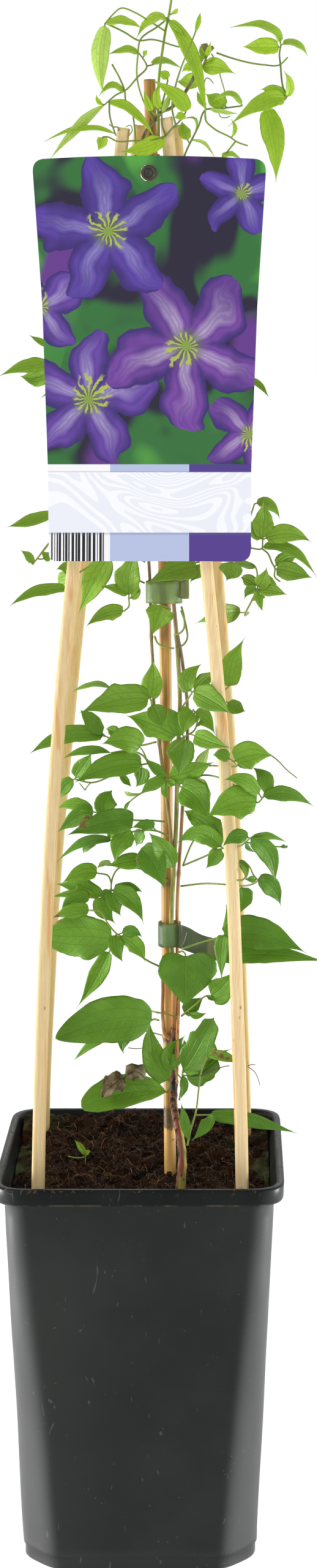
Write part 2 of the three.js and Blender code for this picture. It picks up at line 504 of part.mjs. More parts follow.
// ---------------------------------------------------------------- foliage
// Each spray has stalks, as lists of [x, z, depth] on the elevation, and leaflets, as
// [base x, base z, middle x, middle z, tip x, tip z, base depth, tip depth, width, roll, outline].
// A leaflet is carried by a short stalk of its own from the nearest point of the spray's stalks.
const SPRAYS = {
  leading_shoot: {
    thick: [[
      [8.5, 738, -9], [8.4, 752, -9], [8.3, 765, -8], [9, 777, -6], [10.8, 790, -4], [12.2, 799, -3],
      [14, 807.5, -2], [15.4, 816, -1], [16.6, 828, 0], [17.2, 838, 0.5],
    ]],
    stalks: [
      [
        [12.2, 799, -3], [6, 803, -6], [3, 804.8, -8], [-4, 809, -10], [-12, 811.3, -13],
        [-16, 808, -14], [-20, 803.5, -15],
      ],
      [
        [13.6, 805.8, -3], [8, 801.5, -6], [-1.4, 794, -10], [-2.6, 786, -10], [-3, 774, -10],
        [0, 762.5, -10], [5.4, 751.6, -10],
      ],
      [
        [-20, 803.5, -15], [-10, 798.6, -13], [-1.4, 794, -10], [4, 794.6, -9], [20, 790.6, -7],
        [28, 790, -6],
      ],
      [[-3, 774, -10], [2.2, 780.3, -8], [0, 784.5, -8], [-2.5, 787.8, -8]],
      [[2.2, 780.3, -8], [5.5, 781, -3]],
      [[-3, 774, -10], [-9.7, 767, -12], [-14, 765, -13], [-18, 761.8, -14], [-20.5, 759.5, -15]],
      [
        [-16.5, 781.3, -14], [-12, 773, -13], [-9.7, 767, -12], [-9, 761, -12], [-6, 756.5, -12],
        [-4.7, 750, -13], [-3.6, 736, -14.4],
      ],
      [[-18, 761.8, -14], [-17.6, 753, -15.5], [-16, 747.5, -17], [-14.4, 743, -18]],
    ],
    leaves: [
      [13.6, 807.3, 5, 805.2, -3, 795.5, -4, -14, 9, 45, 'ovate'],
      [15.4, 807, 27.3, 784, 34, 751, -4, -18, 8, 15, 'ovate'],
      [15.2, 807.5, 17.6, 809.5, 18.8, 811, -2, -4, 2.8, 30, 'lance'],
      [13.8, 805, 17.5, 801.2, 21.5, 797.3, -4, -10, 3.4, 40, 'lance'],
      [17, 836, 13.5, 843, 11.5, 850, 0, -3, 5, 10, 'lance'],
      [17.2, 837, 20.5, 843, 22, 851.5, 0, 3, 5, 10, 'lance'],
      [-21, 802.4, -23.6, 785, -22.7, 765.5, -16, -20, 10, 165, 'ovate'],
      [-19.8, 803.7, -10, 804.3, -0.5, 800.3, -15, -22, 7.5, 45, 'ovate'],
      [-2.5, 787.8, -9.5, 788.6, -18, 787, -8, -14, 7, 50, 'ovate'],
      [5.5, 781, 12, 782.8, 20.5, 779.6, -3, 4, 6.5, 50, 'ovate'],
      [-10, 767, -17, 769.3, -22.8, 764.3, -12, -20, 6.5, 50, 'ovate'],
      [-20.8, 759, -34, 748.2, -49.5, 730.6, -15, -26, 5.5, 150, 'lance'],
      [-18, 760.5, -5, 756, 7.6, 741.4, -14, -16, 7.5, 45, 'ovate'],
      [-14.5, 743.6, -33, 746.6, -52, 740.3, -18, -24, 5.5, 55, 'lance'],
    ],
  },
  side_shoot_top: {
    stalks: [[
      [18, 747.4, -12.8], [15.8, 758, -13], [17.5, 769, -12], [20.5, 779, -15.4], [25, 790, -18],
      [28.5, 799, -14],
    ]],
    leaves: [[28.5, 799, 30, 804, 31.3, 808.6, -14, -12, 2.8, 0, 'lance']],
  },
  spray_top_front: {
    stalks: [
      [[12.2, 742.7, -15.6], [16, 747, -15.8], [20, 751, -15.5], [23.2, 755.6, -15]],
      [[12.2, 742.7, -15.6], [10.6, 748, -15.4], [10.2, 754.4, -14.8], [9.9, 758, -14]],
      [[10.2, 754.4, -14.8], [7, 754, -14.4], [5, 756, -13.6]],
      [
        [12.2, 742.7, -15.6], [5, 740.6, -18], [-5, 740.2, -19.6], [-14, 740, -20.4],
        [-19, 742.3, -20.4], [-21.5, 742.3, -20.6],
      ],
      [[9.9, 758, -14], [12, 766, -13.6], [13.5, 773, -12]],
    ],
    leaves: [
      [23.3, 756, 17.5, 764, 5, 773.2, -15.4, -17, 9, 20, 'ovate'],
      [22.6, 755, 20, 753.2, 17, 752.6, -15, -17, 5, 20, 'ovate'],
      [10.6, 755.2, 12.8, 760.5, 15, 766.7, -14.6, -13, 3.6, 150, 'lance'],
      [9.7, 757.6, 7.6, 763, 9.4, 770.5, -14.4, -15, 4.4, 0, 'ovate'],
      [4.8, 756, 2.8, 761, 0.2, 766.3, -13.6, -12, 4.2, 10, 'ovate'],
      [13.5, 773.4, 11.5, 775.8, 9.6, 777.6, -12, -12, 5, 0, 'ovate'],
      [13.2, 741, 2, 736.8, -12, 735.6, -17, -23.6, 11, 25, 'ovate'],
      [-21.8, 741.8, -22, 739, -24, 735.5, -20.6, -21, 6, 5, 'heart'],
    ],
  },
  spray_crown_right: {
    stalks: [[[34.2, 784.8, -6], [32, 779.5, -6], [31, 776, 1], [30.6, 773, 4]]],
    leaves: [
      [32.4, 779, 40, 779.6, 49.5, 776, -6, -10, 10, 20, 'ovate'],
      [30.6, 773, 25, 771.5, 18.5, 772, 5, 9, 9, 10, 'ovate'],
      [31, 777, 26, 779.5, 21.5, 777, 4, 8, 6, 20, 'ovate'],
    ],
  },
  spray_top_right: {
    stalks: [
      [[39.8, 787.4, -2], [46, 785.2, -4], [58, 782, -8], [65, 781, -10], [74, 781.2, -14], [78, 785, -15]],
      [[74, 781.2, -14], [73.5, 787, -14.5], [74.3, 791.5, -15]],
      [[74, 781.2, -14], [75.4, 769, -14], [77.3, 763.5, -15], [72, 760.5, -11], [66.5, 757, -9]],
    ],
    leaves: [
      [73.8, 793.4, 66.5, 801.3, 48, 800.5, -15, -24, 8, 50, 'ovate'],
      [73.3, 790.7, 64, 790.3, 54.3, 790.5, -15, -20, 9.3, 8, 'ovate'],
      [75.2, 792, 82.5, 792.3, 88.3, 785.8, -15, -10, 7, 50, 'ovate'],
      [77.5, 764, 79, 770.5, 75.6, 777, -15, -19, 5.5, 35, 'ovate'],
      [77, 763.8, 70, 767.2, 63.8, 767.5, -14, -6, 8, 30, 'ovate'],
      [76.8, 762.3, 64, 761, 46, 748.6, -16, -26, 10.5, 22, 'ovate'],
      [66.5, 757, 71, 740.5, 73.2, 718.8, -9, -13, 12.5, 10, 'ovate'],
    ],
  },
  spray_top_mid: {
    stalks: [
      [
        [21.2, 729, -18.6], [24.5, 737, -16], [27.5, 743, -15], [30, 748, -15], [33.6, 756.6, -14],
        [43, 757.6, -14], [53.5, 759, -15],
      ],
      [
        [33.6, 756.6, -14], [34, 751, -14], [38, 747, -15], [48, 741.5, -16], [50, 740, -16],
        [56.5, 737.5, -17],
      ],
      [[50, 740, -16], [46, 735, -16], [42.5, 731, -16]],
    ],
    leaves: [
      [46, 757.5, 40, 761.5, 33.5, 765, -12, -6, 9, 15, 'ovate'],
      [53.6, 759.4, 46.5, 765, 37.5, 760.5, -15, -19, 7, 60, 'ovate'],
      [35, 757.4, 42, 755.6, 50.5, 755, -15, -20, 4, 120, 'lance'],
      [34, 757.4, 31.5, 761.8, 29, 766.4, -13, -7, 4, 20, 'lance'],
      [47.9, 741.6, 49.8, 746.8, 47.4, 751.6, -16, -16, 2.4, 10, 'lance'],
      [24.6, 737.6, 22.5, 744.5, 20.6, 750.5, -12, -3, 6.5, 10, 'ovate'],
      [26.4, 740.4, 33.5, 737.8, 39, 730.5, -16, -20, 7, 100, 'ovate'],
      [27.4, 743, 28.4, 751.6, 20.8, 751.5, -14, -9, 2.8, 60, 'lance'],
      [42.2, 730.8, 47, 732.6, 53.5, 729.8, -16, -19, 6, 60, 'ovate'],
    ],
  },
  spray_label_left_top: {
    stalks: [
      [[-5.4, 612, -12.4], [-15, 617, -11], [-27, 620, -10], [-38, 621, -14], [-48, 619, -20]],
      [[-36.9, 620.8, -13.6], [-41, 624.6, -16], [-45, 627.5, -18]],
    ],
    leaves: [
      [-49, 620, -62, 619.3, -76.7, 613.4, -20, -26, 8, 20, 'ovate'],
      [-48, 616, -56, 613.4, -65.5, 613.6, -19, -14, 11, 12, 'ovate'],
      [-46, 628.4, -54, 631.8, -60.4, 635.6, -18, -22, 3.4, 20, 'lance'],
      [-37, 622, -41, 634, -38, 652, -13, -6, 16, 20, 'ovate'],
    ],
  },
  spray_label_left_low: {
    stalks: [
      [[0, 538, -10.6], [-15, 540, -10], [-30, 542, -9], [-46, 541, -14]],
      [[-46, 541, -14], [-48, 530, -15], [-50.5, 524, -16], [-55, 518, -17], [-59.3, 512.8, -18]],
    ],
    leaves: [
      [-47.5, 540.8, -61, 536, -72.3, 533.7, -14, -22, 6.5, 20, 'ovate'],
      [-59.6, 513.4, -61.5, 517, -65.6, 519.8, -18, -20, 4.4, 10, 'ovate'],
      [-52.4, 511.8, -53, 516, -49.8, 519.4, -14, -12, 6.4, 10, 'ovate'],
      [-31, 543, -34, 556, -31, 572, -8, 0, 15, 25, 'ovate'],
    ],
  },
  spray_label_right: {
    stalks: [[[11, 598, -11.6], [25, 604, -11.5], [40, 610, -15], [56, 612.4, -21]]],
    leaves: [
      [57, 612.5, 62, 609.8, 67.4, 603, -21, -25, 3.6, 20, 'lance'],
      [41, 611, 46, 624, 44, 640, -14, -8, 15, 20, 'ovate'],
      [42, 609, 49, 600, 52, 585, -16, -20, 13, 20, 'ovate'],
    ],
  },
  spray_right_low_1: {
    stalks: [
      [
        [17, 517.6, -11.4], [30, 519.6, -12], [45, 521, -14], [58, 521.5, -18], [64, 521.3, -20],
        [64.5, 526, -21],
      ],
      [[58, 521.5, -18], [57, 534, -17], [60, 545.2, -18]],
      [
        [64, 521.3, -20], [67.3, 518.6, -20], [69.5, 513.5, -20], [71, 510.8, -21], [71, 506, -21],
        [74, 503.4, -21],
      ],
    ],
    leaves: [
      [64.5, 527, 65.3, 536, 65.5, 547, -22, -25, 11, 10, 'ovate'],
      [63.5, 526.6, 60, 531, 56, 537.5, -21, -23, 6.5, 10, 'ovate'],
      [61, 546, 68, 544.8, 73.8, 537.5, -18, -17, 7, 40, 'ovate'],
      [65.5, 527.3, 78, 529.5, 90.3, 525.7, -22, -30, 10, 18, 'ovate'],
      [65, 521.8, 80, 519.8, 93.6, 506.7, -20, -30, 7, 40, 'ovate'],
      [71.5, 511.6, 77, 515.8, 82.5, 516.5, -20, -13, 8, 15, 'ovate'],
      [71.3, 510, 80.5, 508.8, 90.2, 505.3, -22, -27, 10, 15, 'ovate'],
    ],
  },
  spray_right_low_2: {
    stalks: [
      [[17.4, 511, -11], [30, 514, -11], [45, 514.6, -14], [60.5, 511.5, -19], [61.8, 500, -20]],
      [[61.8, 500, -20], [58, 492, -20], [56, 488.3, -19], [57, 487, 6], [52.6, 486.9, 31]],
    ],
    leaves: [
      [48, 514, 47.5, 509.5, 45.3, 504, -15, -8, 12, 10, 'ovate'],
      [60.3, 511.2, 54, 512.2, 46, 513, -19, -24, 6, 60, 'ovate'],
      [61.7, 501, 65, 505, 66.5, 510.8, -20, -24, 8, 5, 'ovate'],
      [61.8, 503, 67, 504, 72.3, 500.2, -20, -16, 5.5, 25, 'ovate'],
      [61.4, 501.5, 57, 504.6, 53, 505.5, -20, -14, 6.5, 10, 'ovate'],
      [61.4, 499.5, 57.5, 498.6, 55, 494, -20, -24, 5, 10, 'ovate'],
      [62.3, 499.2, 69.5, 498.9, 77.4, 497, -20, -27, 6.5, 20, 'ovate'],
      [61.6, 498.6, 62.5, 494, 64.3, 488.3, -20, -22, 7.5, 10, 'lobed'],
      [52.3, 486.8, 42, 485.9, 28.5, 480.7, 31, 56, 10.5, 12, 'ovate'],
    ],
  },
  spray_centre: {
    stalks: [[[16.6, 514, -14.4], [23, 515.4, -16], [29.5, 511.4, -19]]],
    leaves: [
      [29, 511, 18, 509.5, 2.5, 503.4, -19, -24, 14, 35, 'ovate'],
      [28.4, 513.4, 29, 509, 25.5, 503.4, -18, -20, 9, 10, 'ovate'],
    ],
  },
  spray_centre_left: {
    stalks: [[
      [0.9, 502.8, -9.4], [-3, 504, -12], [-6.4, 501, -14], [-7.5, 495, -14], [-7.5, 490, -14],
      [-10.3, 487.5, -15],
    ]],
    leaves: [
      [-6.9, 496.6, -7, 507, -3, 521, -14.5, -24, 13, 10, 'ovate'],
      [-8, 496, -14, 499.8, -22.3, 500.5, -14, -18, 5.5, 25, 'ovate'],
      [-6.6, 494.4, -3, 497.4, -3.2, 502.3, -14, -17, 4.4, 10, 'ovate'],
      [-10.6, 487.5, -20, 487, -30.6, 480.2, -15, -20, 8, 15, 'ovate'],
    ],
  },
  spray_left_high: {
    stalks: [
      [
        [1.4, 514, -10], [-8, 518.4, -10], [-18, 517.5, -9], [-30, 511, -6], [-38, 505, -6],
        [-41, 499.6, -8],
      ],
    ],
    leaves: [
      [-18, 517, -26, 503.5, -35.3, 487.4, -9, -6, 14, 20, 'ovate'],
      [-41.2, 499.2, -57, 497.8, -70, 490.2, -8, -20, 6.5, 30, 'ovate'],
      [-36, 507, -41, 511, -46.4, 510.2, -6, -8, 7, 15, 'ovate'],
      [-38.4, 505, -42.5, 504.6, -45.6, 502, -6, 2, 8, 10, 'ovate'],
    ],
  },
  spray_centre_low: {
    stalks: [[[15, 488.5, -13.4], [12.5, 490, -15], [9.8, 490.6, -16]]],
    leaves: [[9.8, 490.2, 8.2, 483, 5.8, 474, -16.6, -18, 14.5, 8, 'ovate']],
  },
  spray_mid_left_1: {
    stalks: [[[5, 436.6, -13.4], [4.2, 440.5, -15], [-6, 443, -6], [-17.5, 446.3, 9]]],
    leaves: [
      [4.5, 440.8, 6.2, 450.5, 6, 461.3, -15.4, -19, 11, 10, 'ovate'],
      [4.2, 439.4, 8, 432, 10.3, 424.8, -18, -20.5, 9.5, 15, 'ovate'],
      [3.6, 440.4, -14, 439.8, -33, 432.6, -16, -28, 15, 12, 'ovate'],
      [-17.5, 446.3, -27, 448, -37.4, 444.2, 9, 19, 5.4, 65, 'lance'],
    ],
  },
  spray_mid_left_2: {
    stalks: [[[7.2, 417.4, -10.6], [-2, 415.5, -6], [-12, 417, -4], [-20, 420.4, -4]]],
    leaves: [
      [-21.4, 421.8, -28, 428.5, -33.4, 433.7, -4, -8, 8, 25, 'ovate'],
      [-21.4, 420.6, -41, 420.5, -59, 410.5, -4, -10, 9, 15, 'ovate'],
      [-13, 418.4, -16, 423, -19.6, 424.3, -3, 3, 6, 20, 'ovate'],
    ],
  },
  spray_mid_left_3: {
    stalks: [
      [
        [9, 405, -14.6], [4.4, 406, -15], [0, 405.3, -15], [-15, 400, -9], [-28, 395.6, -7],
        [-36.5, 397.5, -7],
      ],
      [[4.4, 406, -15], [-2, 411.4, -10.4], [-10, 412.6, -8.6], [-17.3, 411.5, -8]],
    ],
    leaves: [
      [7.4, 417.6, -6, 417.4, -21, 416.4, -16, -26, 14, 22, 'ovate'],
      [-17.5, 411.8, -30, 412.8, -42.6, 409.4, -8, -4, 5.4, 40, 'lance'],
      [0, 405.3, -17, 404, -35, 395, -16, -26, 12.5, 20, 'ovate'],
      [-36, 398, -32, 404, -27.2, 410.3, -8, -12, 9.5, 12, 'ovate'],
      [-37.4, 397.8, -42, 393, -45, 386, -7, -4, 7.5, 10, 'ovate'],
      [-0.4, 404, -0.5, 399, -3.9, 394, -14.4, -12.5, 8, 15, 'ovate'],
      [-12.5, 400.4, -9.8, 397.5, -6.6, 393.5, -9, -10, 4, 20, 'lance'],
    ],
  },
  spray_centre_fan: {
    stalks: [[[16.3, 394.4, -15.4], [15, 396, -18], [13.2, 397.6, -20]]],
    leaves: [
      [14.6, 397.6, 26, 401.6, 37.5, 406.6, -21, -29, 10.7, -8, 'ovate'],
      [12.8, 398, 6.5, 403.5, 0.5, 408, -20.5, -19, 5, 15, 'ovate'],
      [12.4, 397.2, 5.4, 394.6, -1.3, 389.4, -20.6, -23, 6.5, 15, 'ovate'],
      [12.6, 396.6, 11.6, 391.5, 13.5, 387, -20.6, -22.5, 3.6, 20, 'lance'],
      [14, 396.8, 15.6, 395.6, 17.4, 394.2, -21.4, -24.5, 4.6, 20, 'ovate'],
    ],
  },
  spray_mid_left_4: {
    stalks: [
      [
        [12.2, 374.6, -15.6], [6, 375.2, -16], [-5, 375.5, -16], [-13, 377, -11], [-20, 378.5, -9],
        [-27, 380, -8],
      ],
    ],
    leaves: [
      [-5, 375.5, -20, 374.6, -39.6, 367, -16, -28, 13, 20, 'ovate'],
      [-26, 379, -34.5, 377.3, -45, 368.4, -8, -8, 10, 15, 'ovate'],
      [-27.6, 380.8, -36.5, 384.4, -46, 381.8, -8, -2, 6.5, 25, 'ovate'],
      [-20, 379, -20.3, 385.5, -16.5, 391, -9, -4, 12, 10, 'ovate'],
      [-11, 376, -15.6, 370, -18.5, 364.8, -12, -7, 6, 15, 'ovate'],
    ],
  },
  spray_mid_left_5: {
    stalks: [[
      [13.6, 367, -15.8], [8, 369.5, -17], [0, 370, -18], [-5, 369.3, -18.4], [-11, 367, -14],
      [-17, 364.5, -10],
    ]],
    leaves: [
      [-5, 369, -12, 363, -14.5, 353, -19, -25, 10.5, 12, 'ovate'],
      [-17, 364.3, -32, 363.2, -46.2, 352.4, -10, -6, 5.6, 40, 'ovate'],
      [-22, 364.6, -28, 362.5, -31.8, 358, -9, -4, 4.8, 30, 'lance'],
      [8, 372, 2, 373, -5.4, 370.6, -17.4, -21, 6, 20, 'ovate'],
      [1, 369.6, -1.6, 366, -3.6, 361.8, -17, -15, 8, 40, 'ovate'],
    ],
  },
  spray_mid_front: {
    stalks: [
      [[16.4, 350, -16.6], [8, 356, -18], [0, 360, -18.4], [-1, 360.3, -18.6]],
      [[8, 356, -18], [0, 353.5, -16], [-8, 352.4, -14.4], [-17, 352, -14]],
    ],
    leaves: [
      [-1, 360.3, 6, 352, 12, 338.7, -19, -27, 15, 18, 'ovate'],
      [16.2, 350.4, 10.5, 360, 3, 367.4, -17, -25, 11.5, 20, 'ovate'],
      [0, 353.3, -9, 353, -18, 350, -17, -23, 8.5, 20, 'ovate'],
      [-17, 352, -21, 352, -24.6, 349.6, -14, -12, 5, 140, 'ovate'],
    ],
  },
  spray_low_left_1: {
    stalks: [
      [
        [14.4, 343, -12.8], [9, 345, -13.2], [4, 347.4, -10.4], [-5, 350, -8], [-13, 349.5, -9],
        [-17, 340.3, -10], [-17, 337.6, -10], [-22, 334.5, -10], [-26, 334.8, -9.4],
      ],
      [[-16.7, 341.2, -9.9], [-18.5, 345.5, -10], [-24.5, 347, -11]],
    ],
    leaves: [
      [-24.6, 347, -33, 346.6, -42.6, 341.8, -11, -14, 9, 20, 'ovate'],
      [-22.4, 335, -33, 338.8, -46.7, 340.5, -10, -4, 8.5, 20, 'ovate'],
      [-26, 334.6, -36, 336, -47.9, 333.6, -9.4, -9, 8, 25, 'lobed'],
      [-28, 334, -37, 332, -44.3, 325.8, -10, -14, 8, 15, 'ovate'],
      [-22.2, 334, -21, 328, -14.5, 320.5, -11, -12, 11, 20, 'ovate'],
      [-16, 337.5, -6.5, 332.3, 0.2, 320.3, -11, -20, 10, 18, 'ovate'],
      [-15.6, 338, -8, 339.2, -0.8, 336.8, -10, -10, 6, 20, 'ovate'],
      [-16.6, 336.8, -15.7, 331, -12.3, 324.2, -11, -17, 8.5, 12, 'ovate'],
    ],
  },
  spray_low_left_2: {
    stalks: [
      [
        [8.8, 297, -13.6], [3, 299.8, -15], [-3, 304, -17], [-12, 313, -19], [-14, 314.5, -19],
        [-19, 320.5, -19], [-22.7, 326.4, -18.5], [-28.5, 327, -16],
      ],
      [[-14, 314.5, -19], [-16.4, 308, -13], [-18, 304.8, -10]],
    ],
    leaves: [
      [-13.6, 315, -14, 307.5, -11, 299.7, -20, -27, 8, 8, 'ovate'],
      [-12.5, 315, -3.5, 308, 1.7, 300.2, -20, -27, 8, 12, 'ovate'],
      [-12, 315.8, -6, 315.8, -0.3, 313, -19, -22, 6, 20, 'ovate'],
      [-28.5, 327.4, -38, 326.2, -47.9, 322.4, -16, -16, 8, 20, 'ovate'],
      [-15, 313.5, -33, 313.5, -52, 313.5, -15, -8, 21, 10, 'ovate'],
      [-18, 304.5, -24.5, 291, -33.8, 274.3, -10, -12, 9.5, 20, 'ovate'],
    ],
  },
  spray_low_left_3: {
    stalks: [
      [[8.6, 268, -16.4], [6, 268.5, -21], [0, 265, -19], [-5, 262, -16], [-18, 258.6, -15]],
    ],
    leaves: [
      [6, 268.5, -18, 268.5, -44.5, 256.8, -22, -36, 24, 18, 'ovate'],
      [-18, 258.4, -27, 255, -36.4, 247.4, -15, -13, 5, 40, 'lance'],
      [-5, 262, -10.5, 257, -10.4, 250.2, -16, -18, 6.5, 20, 'ovate'],
    ],
  },
  spray_low_left_4: {
    stalks: [[[13.2, 229.4, -23], [13.6, 235, -21.4], [12, 236.4, -20.4], [4, 240.4, -17]]],
    leaves: [
      [13.6, 235.6, 5.5, 250, 4.4, 266, -21, -19, 12.5, 15, 'ovate'],
      [12.8, 229, -8, 229.5, -32.3, 222.4, -24, -36, 17, 35, 'ovate'],
      [4, 240.4, 0, 242, -4.6, 242.2, -17, -12, 5, 40, 'lance'],
    ],
  },
  spray_mid_right_1: {
    stalks: [[[21, 435.8, -15.6], [24, 440, -26], [27, 444.5, -39]]],
    leaves: [
      [27, 444.5, 37.5, 439.5, 45.6, 432.4, -40, -57, 12, 12, 'ovate'],
      [26.5, 445, 24.6, 451.5, 31, 459, -37, -31, 9, 15, 'ovate'],
      [28.2, 446, 33, 450, 40, 456, -37, -22, 7, 15, 'ovate'],
    ],
  },
  spray_mid_right_2: {
    stalks: [[[25.8, 431, -12], [34, 438, -10], [44, 445, -8], [46.5, 447.5, -8]]],
    leaves: [
      [46.5, 447.5, 47.8, 459.5, 54, 473.4, -8, -14, 12, 12, 'ovate'],
      [43.5, 437, 49, 436.8, 54.8, 434.3, -9, -16, 7.5, 15, 'ovate'],
    ],
  },
  spray_mid_right_3: {
    stalks: [
      [[20.8, 419, -14.6], [22, 420, -22], [28, 424, -24], [29, 432, -23], [27, 435, -22]],
    ],
    leaves: [
      [28.4, 434.6, 24, 430.5, 21.5, 421.5, -24, -30, 11, 15, 'ovate'],
      [28, 430, 33, 430.5, 38.6, 421.5, -23, -28, 10, 15, 'ovate'],
      [22.6, 420.3, 33, 418.8, 46.6, 413, -34, -60, 9, 25, 'ovate'],
      [21.6, 419.4, 21, 410, 18.5, 399, -24, -30, 14, 12, 'ovate'],
      [18.8, 421.6, 6, 427, -8, 432, -15.8, -12.5, 14, -10, 'ovate'],
      [21.8, 420.9, 17, 430, 13.2, 436, -22.4, -23.5, 8.5, 15, 'ovate'],
    ],
  },
  spray_mid_right_4: {
    stalks: [
      [
        [20.8, 404, -14.4], [33, 404.8, -24], [43.4, 404.4, -34], [49.8, 404.2, -38],
        [50, 405.4, -47], [49, 406.8, -52],
      ],
    ],
    leaves: [
      [48, 407.4, 43, 410, 38, 410.2, -54, -52, 6, 15, 'ovate'],
      [49.4, 407, 58, 410.5, 70, 410.5, -53, -46, 13.5, 12, 'ovate'],
      [50.4, 403, 53.4, 405, 57.5, 402.8, -40, -36, 4, 30, 'ovate'],
    ],
  },
  spray_mid_right_5: {
    stalks: [
      [
        [20, 397, -14.6], [33, 399.6, -22], [41.6, 398, -32], [50, 393.6, -40], [57, 387.8, -48],
        [62.3, 385, -53], [64.8, 387.8, -52],
      ],
      [[20, 397, -14.6], [19.8, 393.4, -24]],
    ],
    leaves: [
      [62, 384.8, 49, 384.2, 35.5, 377, -54, -59, 15.5, 15, 'ovate'],
      [65.3, 388, 78, 389.6, 90.5, 382, -52, -44, 8, 35, 'ovate'],
      [65.2, 388.6, 65, 397, 58.5, 403, -50, -44, 9, 25, 'ovate'],
      [63.6, 388.4, 55, 396.5, 44.4, 396.8, -54, -58, 8, 25, 'ovate'],
      [19.8, 393, 29, 388, 36.6, 375, -26, -38, 15.5, 18, 'ovate'],
    ],
  },
  spray_mid_right_6: {
    stalks: [
      [
        [21.6, 351, -13.6], [33, 355.8, -22], [43, 360.3, -33], [51.6, 361.4, -37],
        [54.6, 363, -46], [57.5, 365.7, -54],
      ],
      [[21.6, 351, -13.6], [26, 362, -12], [33, 373, -14]],
    ],
    leaves: [
      [33, 373, 28, 377, 22.5, 380.5, -15, -17, 9, 30, 'ovate'],
      [42.2, 361, 31, 368.6, 18.6, 363.6, -33, -22, 9, 45, 'ovate'],
      [57.2, 365.8, 50, 366.7, 42.8, 361, -55, -58, 7.5, 20, 'ovate'],
      [57.6, 366.3, 67, 366.9, 76.4, 363.8, -54, -48, 5, 60, 'lance'],
      [58, 365.2, 67.5, 357.5, 71, 342.5, -54, -46, 10, 15, 'ovate'],
      [43, 359.6, 39, 355, 34, 349.8, -32, -34, 8, 20, 'ovate'],
    ],
  },
  spray_low_right_1: {
    stalks: [
      [
        [20.4, 340, -12.6], [33, 341.4, -18], [43, 341, -26], [53.4, 340.2, -30], [58, 340.8, -34],
        [61.6, 343.2, -37], [59.5, 346, -36], [57, 351, -36], [52, 354, -34],
      ],
    ],
    leaves: [
      [51.8, 354, 55, 350, 55.5, 343.6, -34, -40, 5, 30, 'lance'],
      [61.4, 343.4, 58.5, 343.7, 55.2, 343.7, -38, -41, 3.6, 30, 'ovate'],
      [62, 343.8, 69.5, 339, 73.6, 329.2, -37, -32, 9.5, 15, 'ovate'],
      [53.8, 340, 53.8, 333, 52.3, 325.4, -29, -26, 11, 8, 'ovate'],
    ],
  },
  spray_low_right_2: {
    stalks: [
      [[21, 306.2, -20.4], [30, 309.3, -23.6], [39, 312, -28], [44, 313.8, -32]],
      [[39, 312, -28], [40.6, 305, -29], [43, 301.5, -29]],
    ],
    leaves: [
      [44, 313.9, 65, 314, 88, 306, -32, -36, 17, 18, 'ovate'],
      [43, 301.5, 68, 303.2, 97, 298, -29, -34, 10, 35, 'ovate'],
      [44, 315, 42.4, 306, 41.6, 290, -33, -35, 8, 20, 'ovate'],
      [43.6, 314.6, 46.4, 318, 44.8, 330, -31, -26, 6, 20, 'ovate'],
    ],
  },
  spray_low_right_3: {
    stalks: [[[20.8, 270.2, -14.6], [28, 276, -19], [35.5, 281.2, -24], [37.4, 280.8, -25]]],
    leaves: [
      [36.4, 281.6, 42.5, 285.5, 48, 294.5, -25, -32, 13.5, 12, 'ovate'],
      [22.4, 271.2, 27, 275.2, 33, 280, -16, -13, 8, 25, 'ovate'],
      [24, 272.4, 28.6, 270.6, 33.9, 272.1, -18, -21, 3.8, 30, 'lance'],
    ],
  },
  leaf_heart: {
    stalks: [[[19.6, 304.6, -13.6], [21.4, 305, -18], [23, 303.4, -24]]],
    leaves: [[23, 302.6, 23, 291, 23, 276.3, -25, -30, 29, 5, 'heart']],
  },
  spray_base_right: {
    stalks: [[[19.6, 225, -29], [20.8, 232, -26.4], [21.4, 239.6, -24.6]]],
    leaves: [
      [21.8, 241, 29.5, 252.5, 38, 268.6, -25.4, -30, 16.5, 15, 'ovate'],
      [22.2, 240.6, 31.5, 245.6, 47, 253.4, -26, -29, 10, 20, 'ovate'],
      [22.3, 241.5, 22.6, 249, 22.4, 257.5, -19, -15.5, 6.5, 15, 'ovate'],
      [21.2, 238.6, 22, 233, 20.6, 226.5, -25.4, -30, 4.5, 10, 'lance'],
    ],
  },
  side_shoot_low: {
    stalks: [
      [
        [24, 200.6, -47], [26, 210, -45], [28.2, 217, -42], [30, 230, -37], [31, 238, -35],
        [33, 245, -33], [34.8, 249, -32],
      ],
      [[28.2, 217, -42], [36, 217.2, -41]],
    ],
    leaves: [
      [34.8, 249.2, 43, 248.6, 53, 243.8, -32, -36, 5.5, 30, 'lance'],
      [36, 217.2, 58, 214.3, 81, 205.6, -40, -34, 7.5, 20, 'ovate'],
      [35.4, 216.6, 34, 211.6, 27, 203.6, -42, -52, 7, 30, 'ovate'],
      [24.4, 202.6, 23.2, 212.5, 20.8, 223, -48, -44, 5, 10, 'lance'],
    ],
  },
  // the side away from the front
  spray_back_left_high: {
    stalks: [[[-2.6, 600, -9], [-10, 604, 0], [-22, 606, 4], [-33, 603, 12]]],
    leaves: [
      [-33, 603, -41, 597, -45, 584, 12, 22, 15, 150, 'ovate'],
      [-30, 604, -34, 616, -35, 630, 9, 18, 13, 160, 'ovate'],
      [-33, 603, -44, 606, -54, 602, 12, 16, 11, 120, 'ovate'],
    ],
  },
  spray_back_right_high: {
    stalks: [[[10.6, 575, -9.4], [19, 580, 4], [23, 584, 20], [28, 584, 32], [38, 580, 36]]],
    leaves: [
      [38, 580, 46, 572, 50, 558, 36, 40, 15, 155, 'ovate'],
      [22.6, 583.4, 14, 592, 8, 606, 19, 25, 13, 150, 'ovate'],
      [38, 580, 48, 586, 58, 585, 36, 30, 10, 110, 'ovate'],
    ],
  },
  spray_back_mid: {
    stalks: [[[23.4, 392, -10], [28, 396, 4], [30, 398, 18]]],
    leaves: [
      [30, 398, 31, 386, 33, 373, 18, 28, 12, 160, 'ovate'],
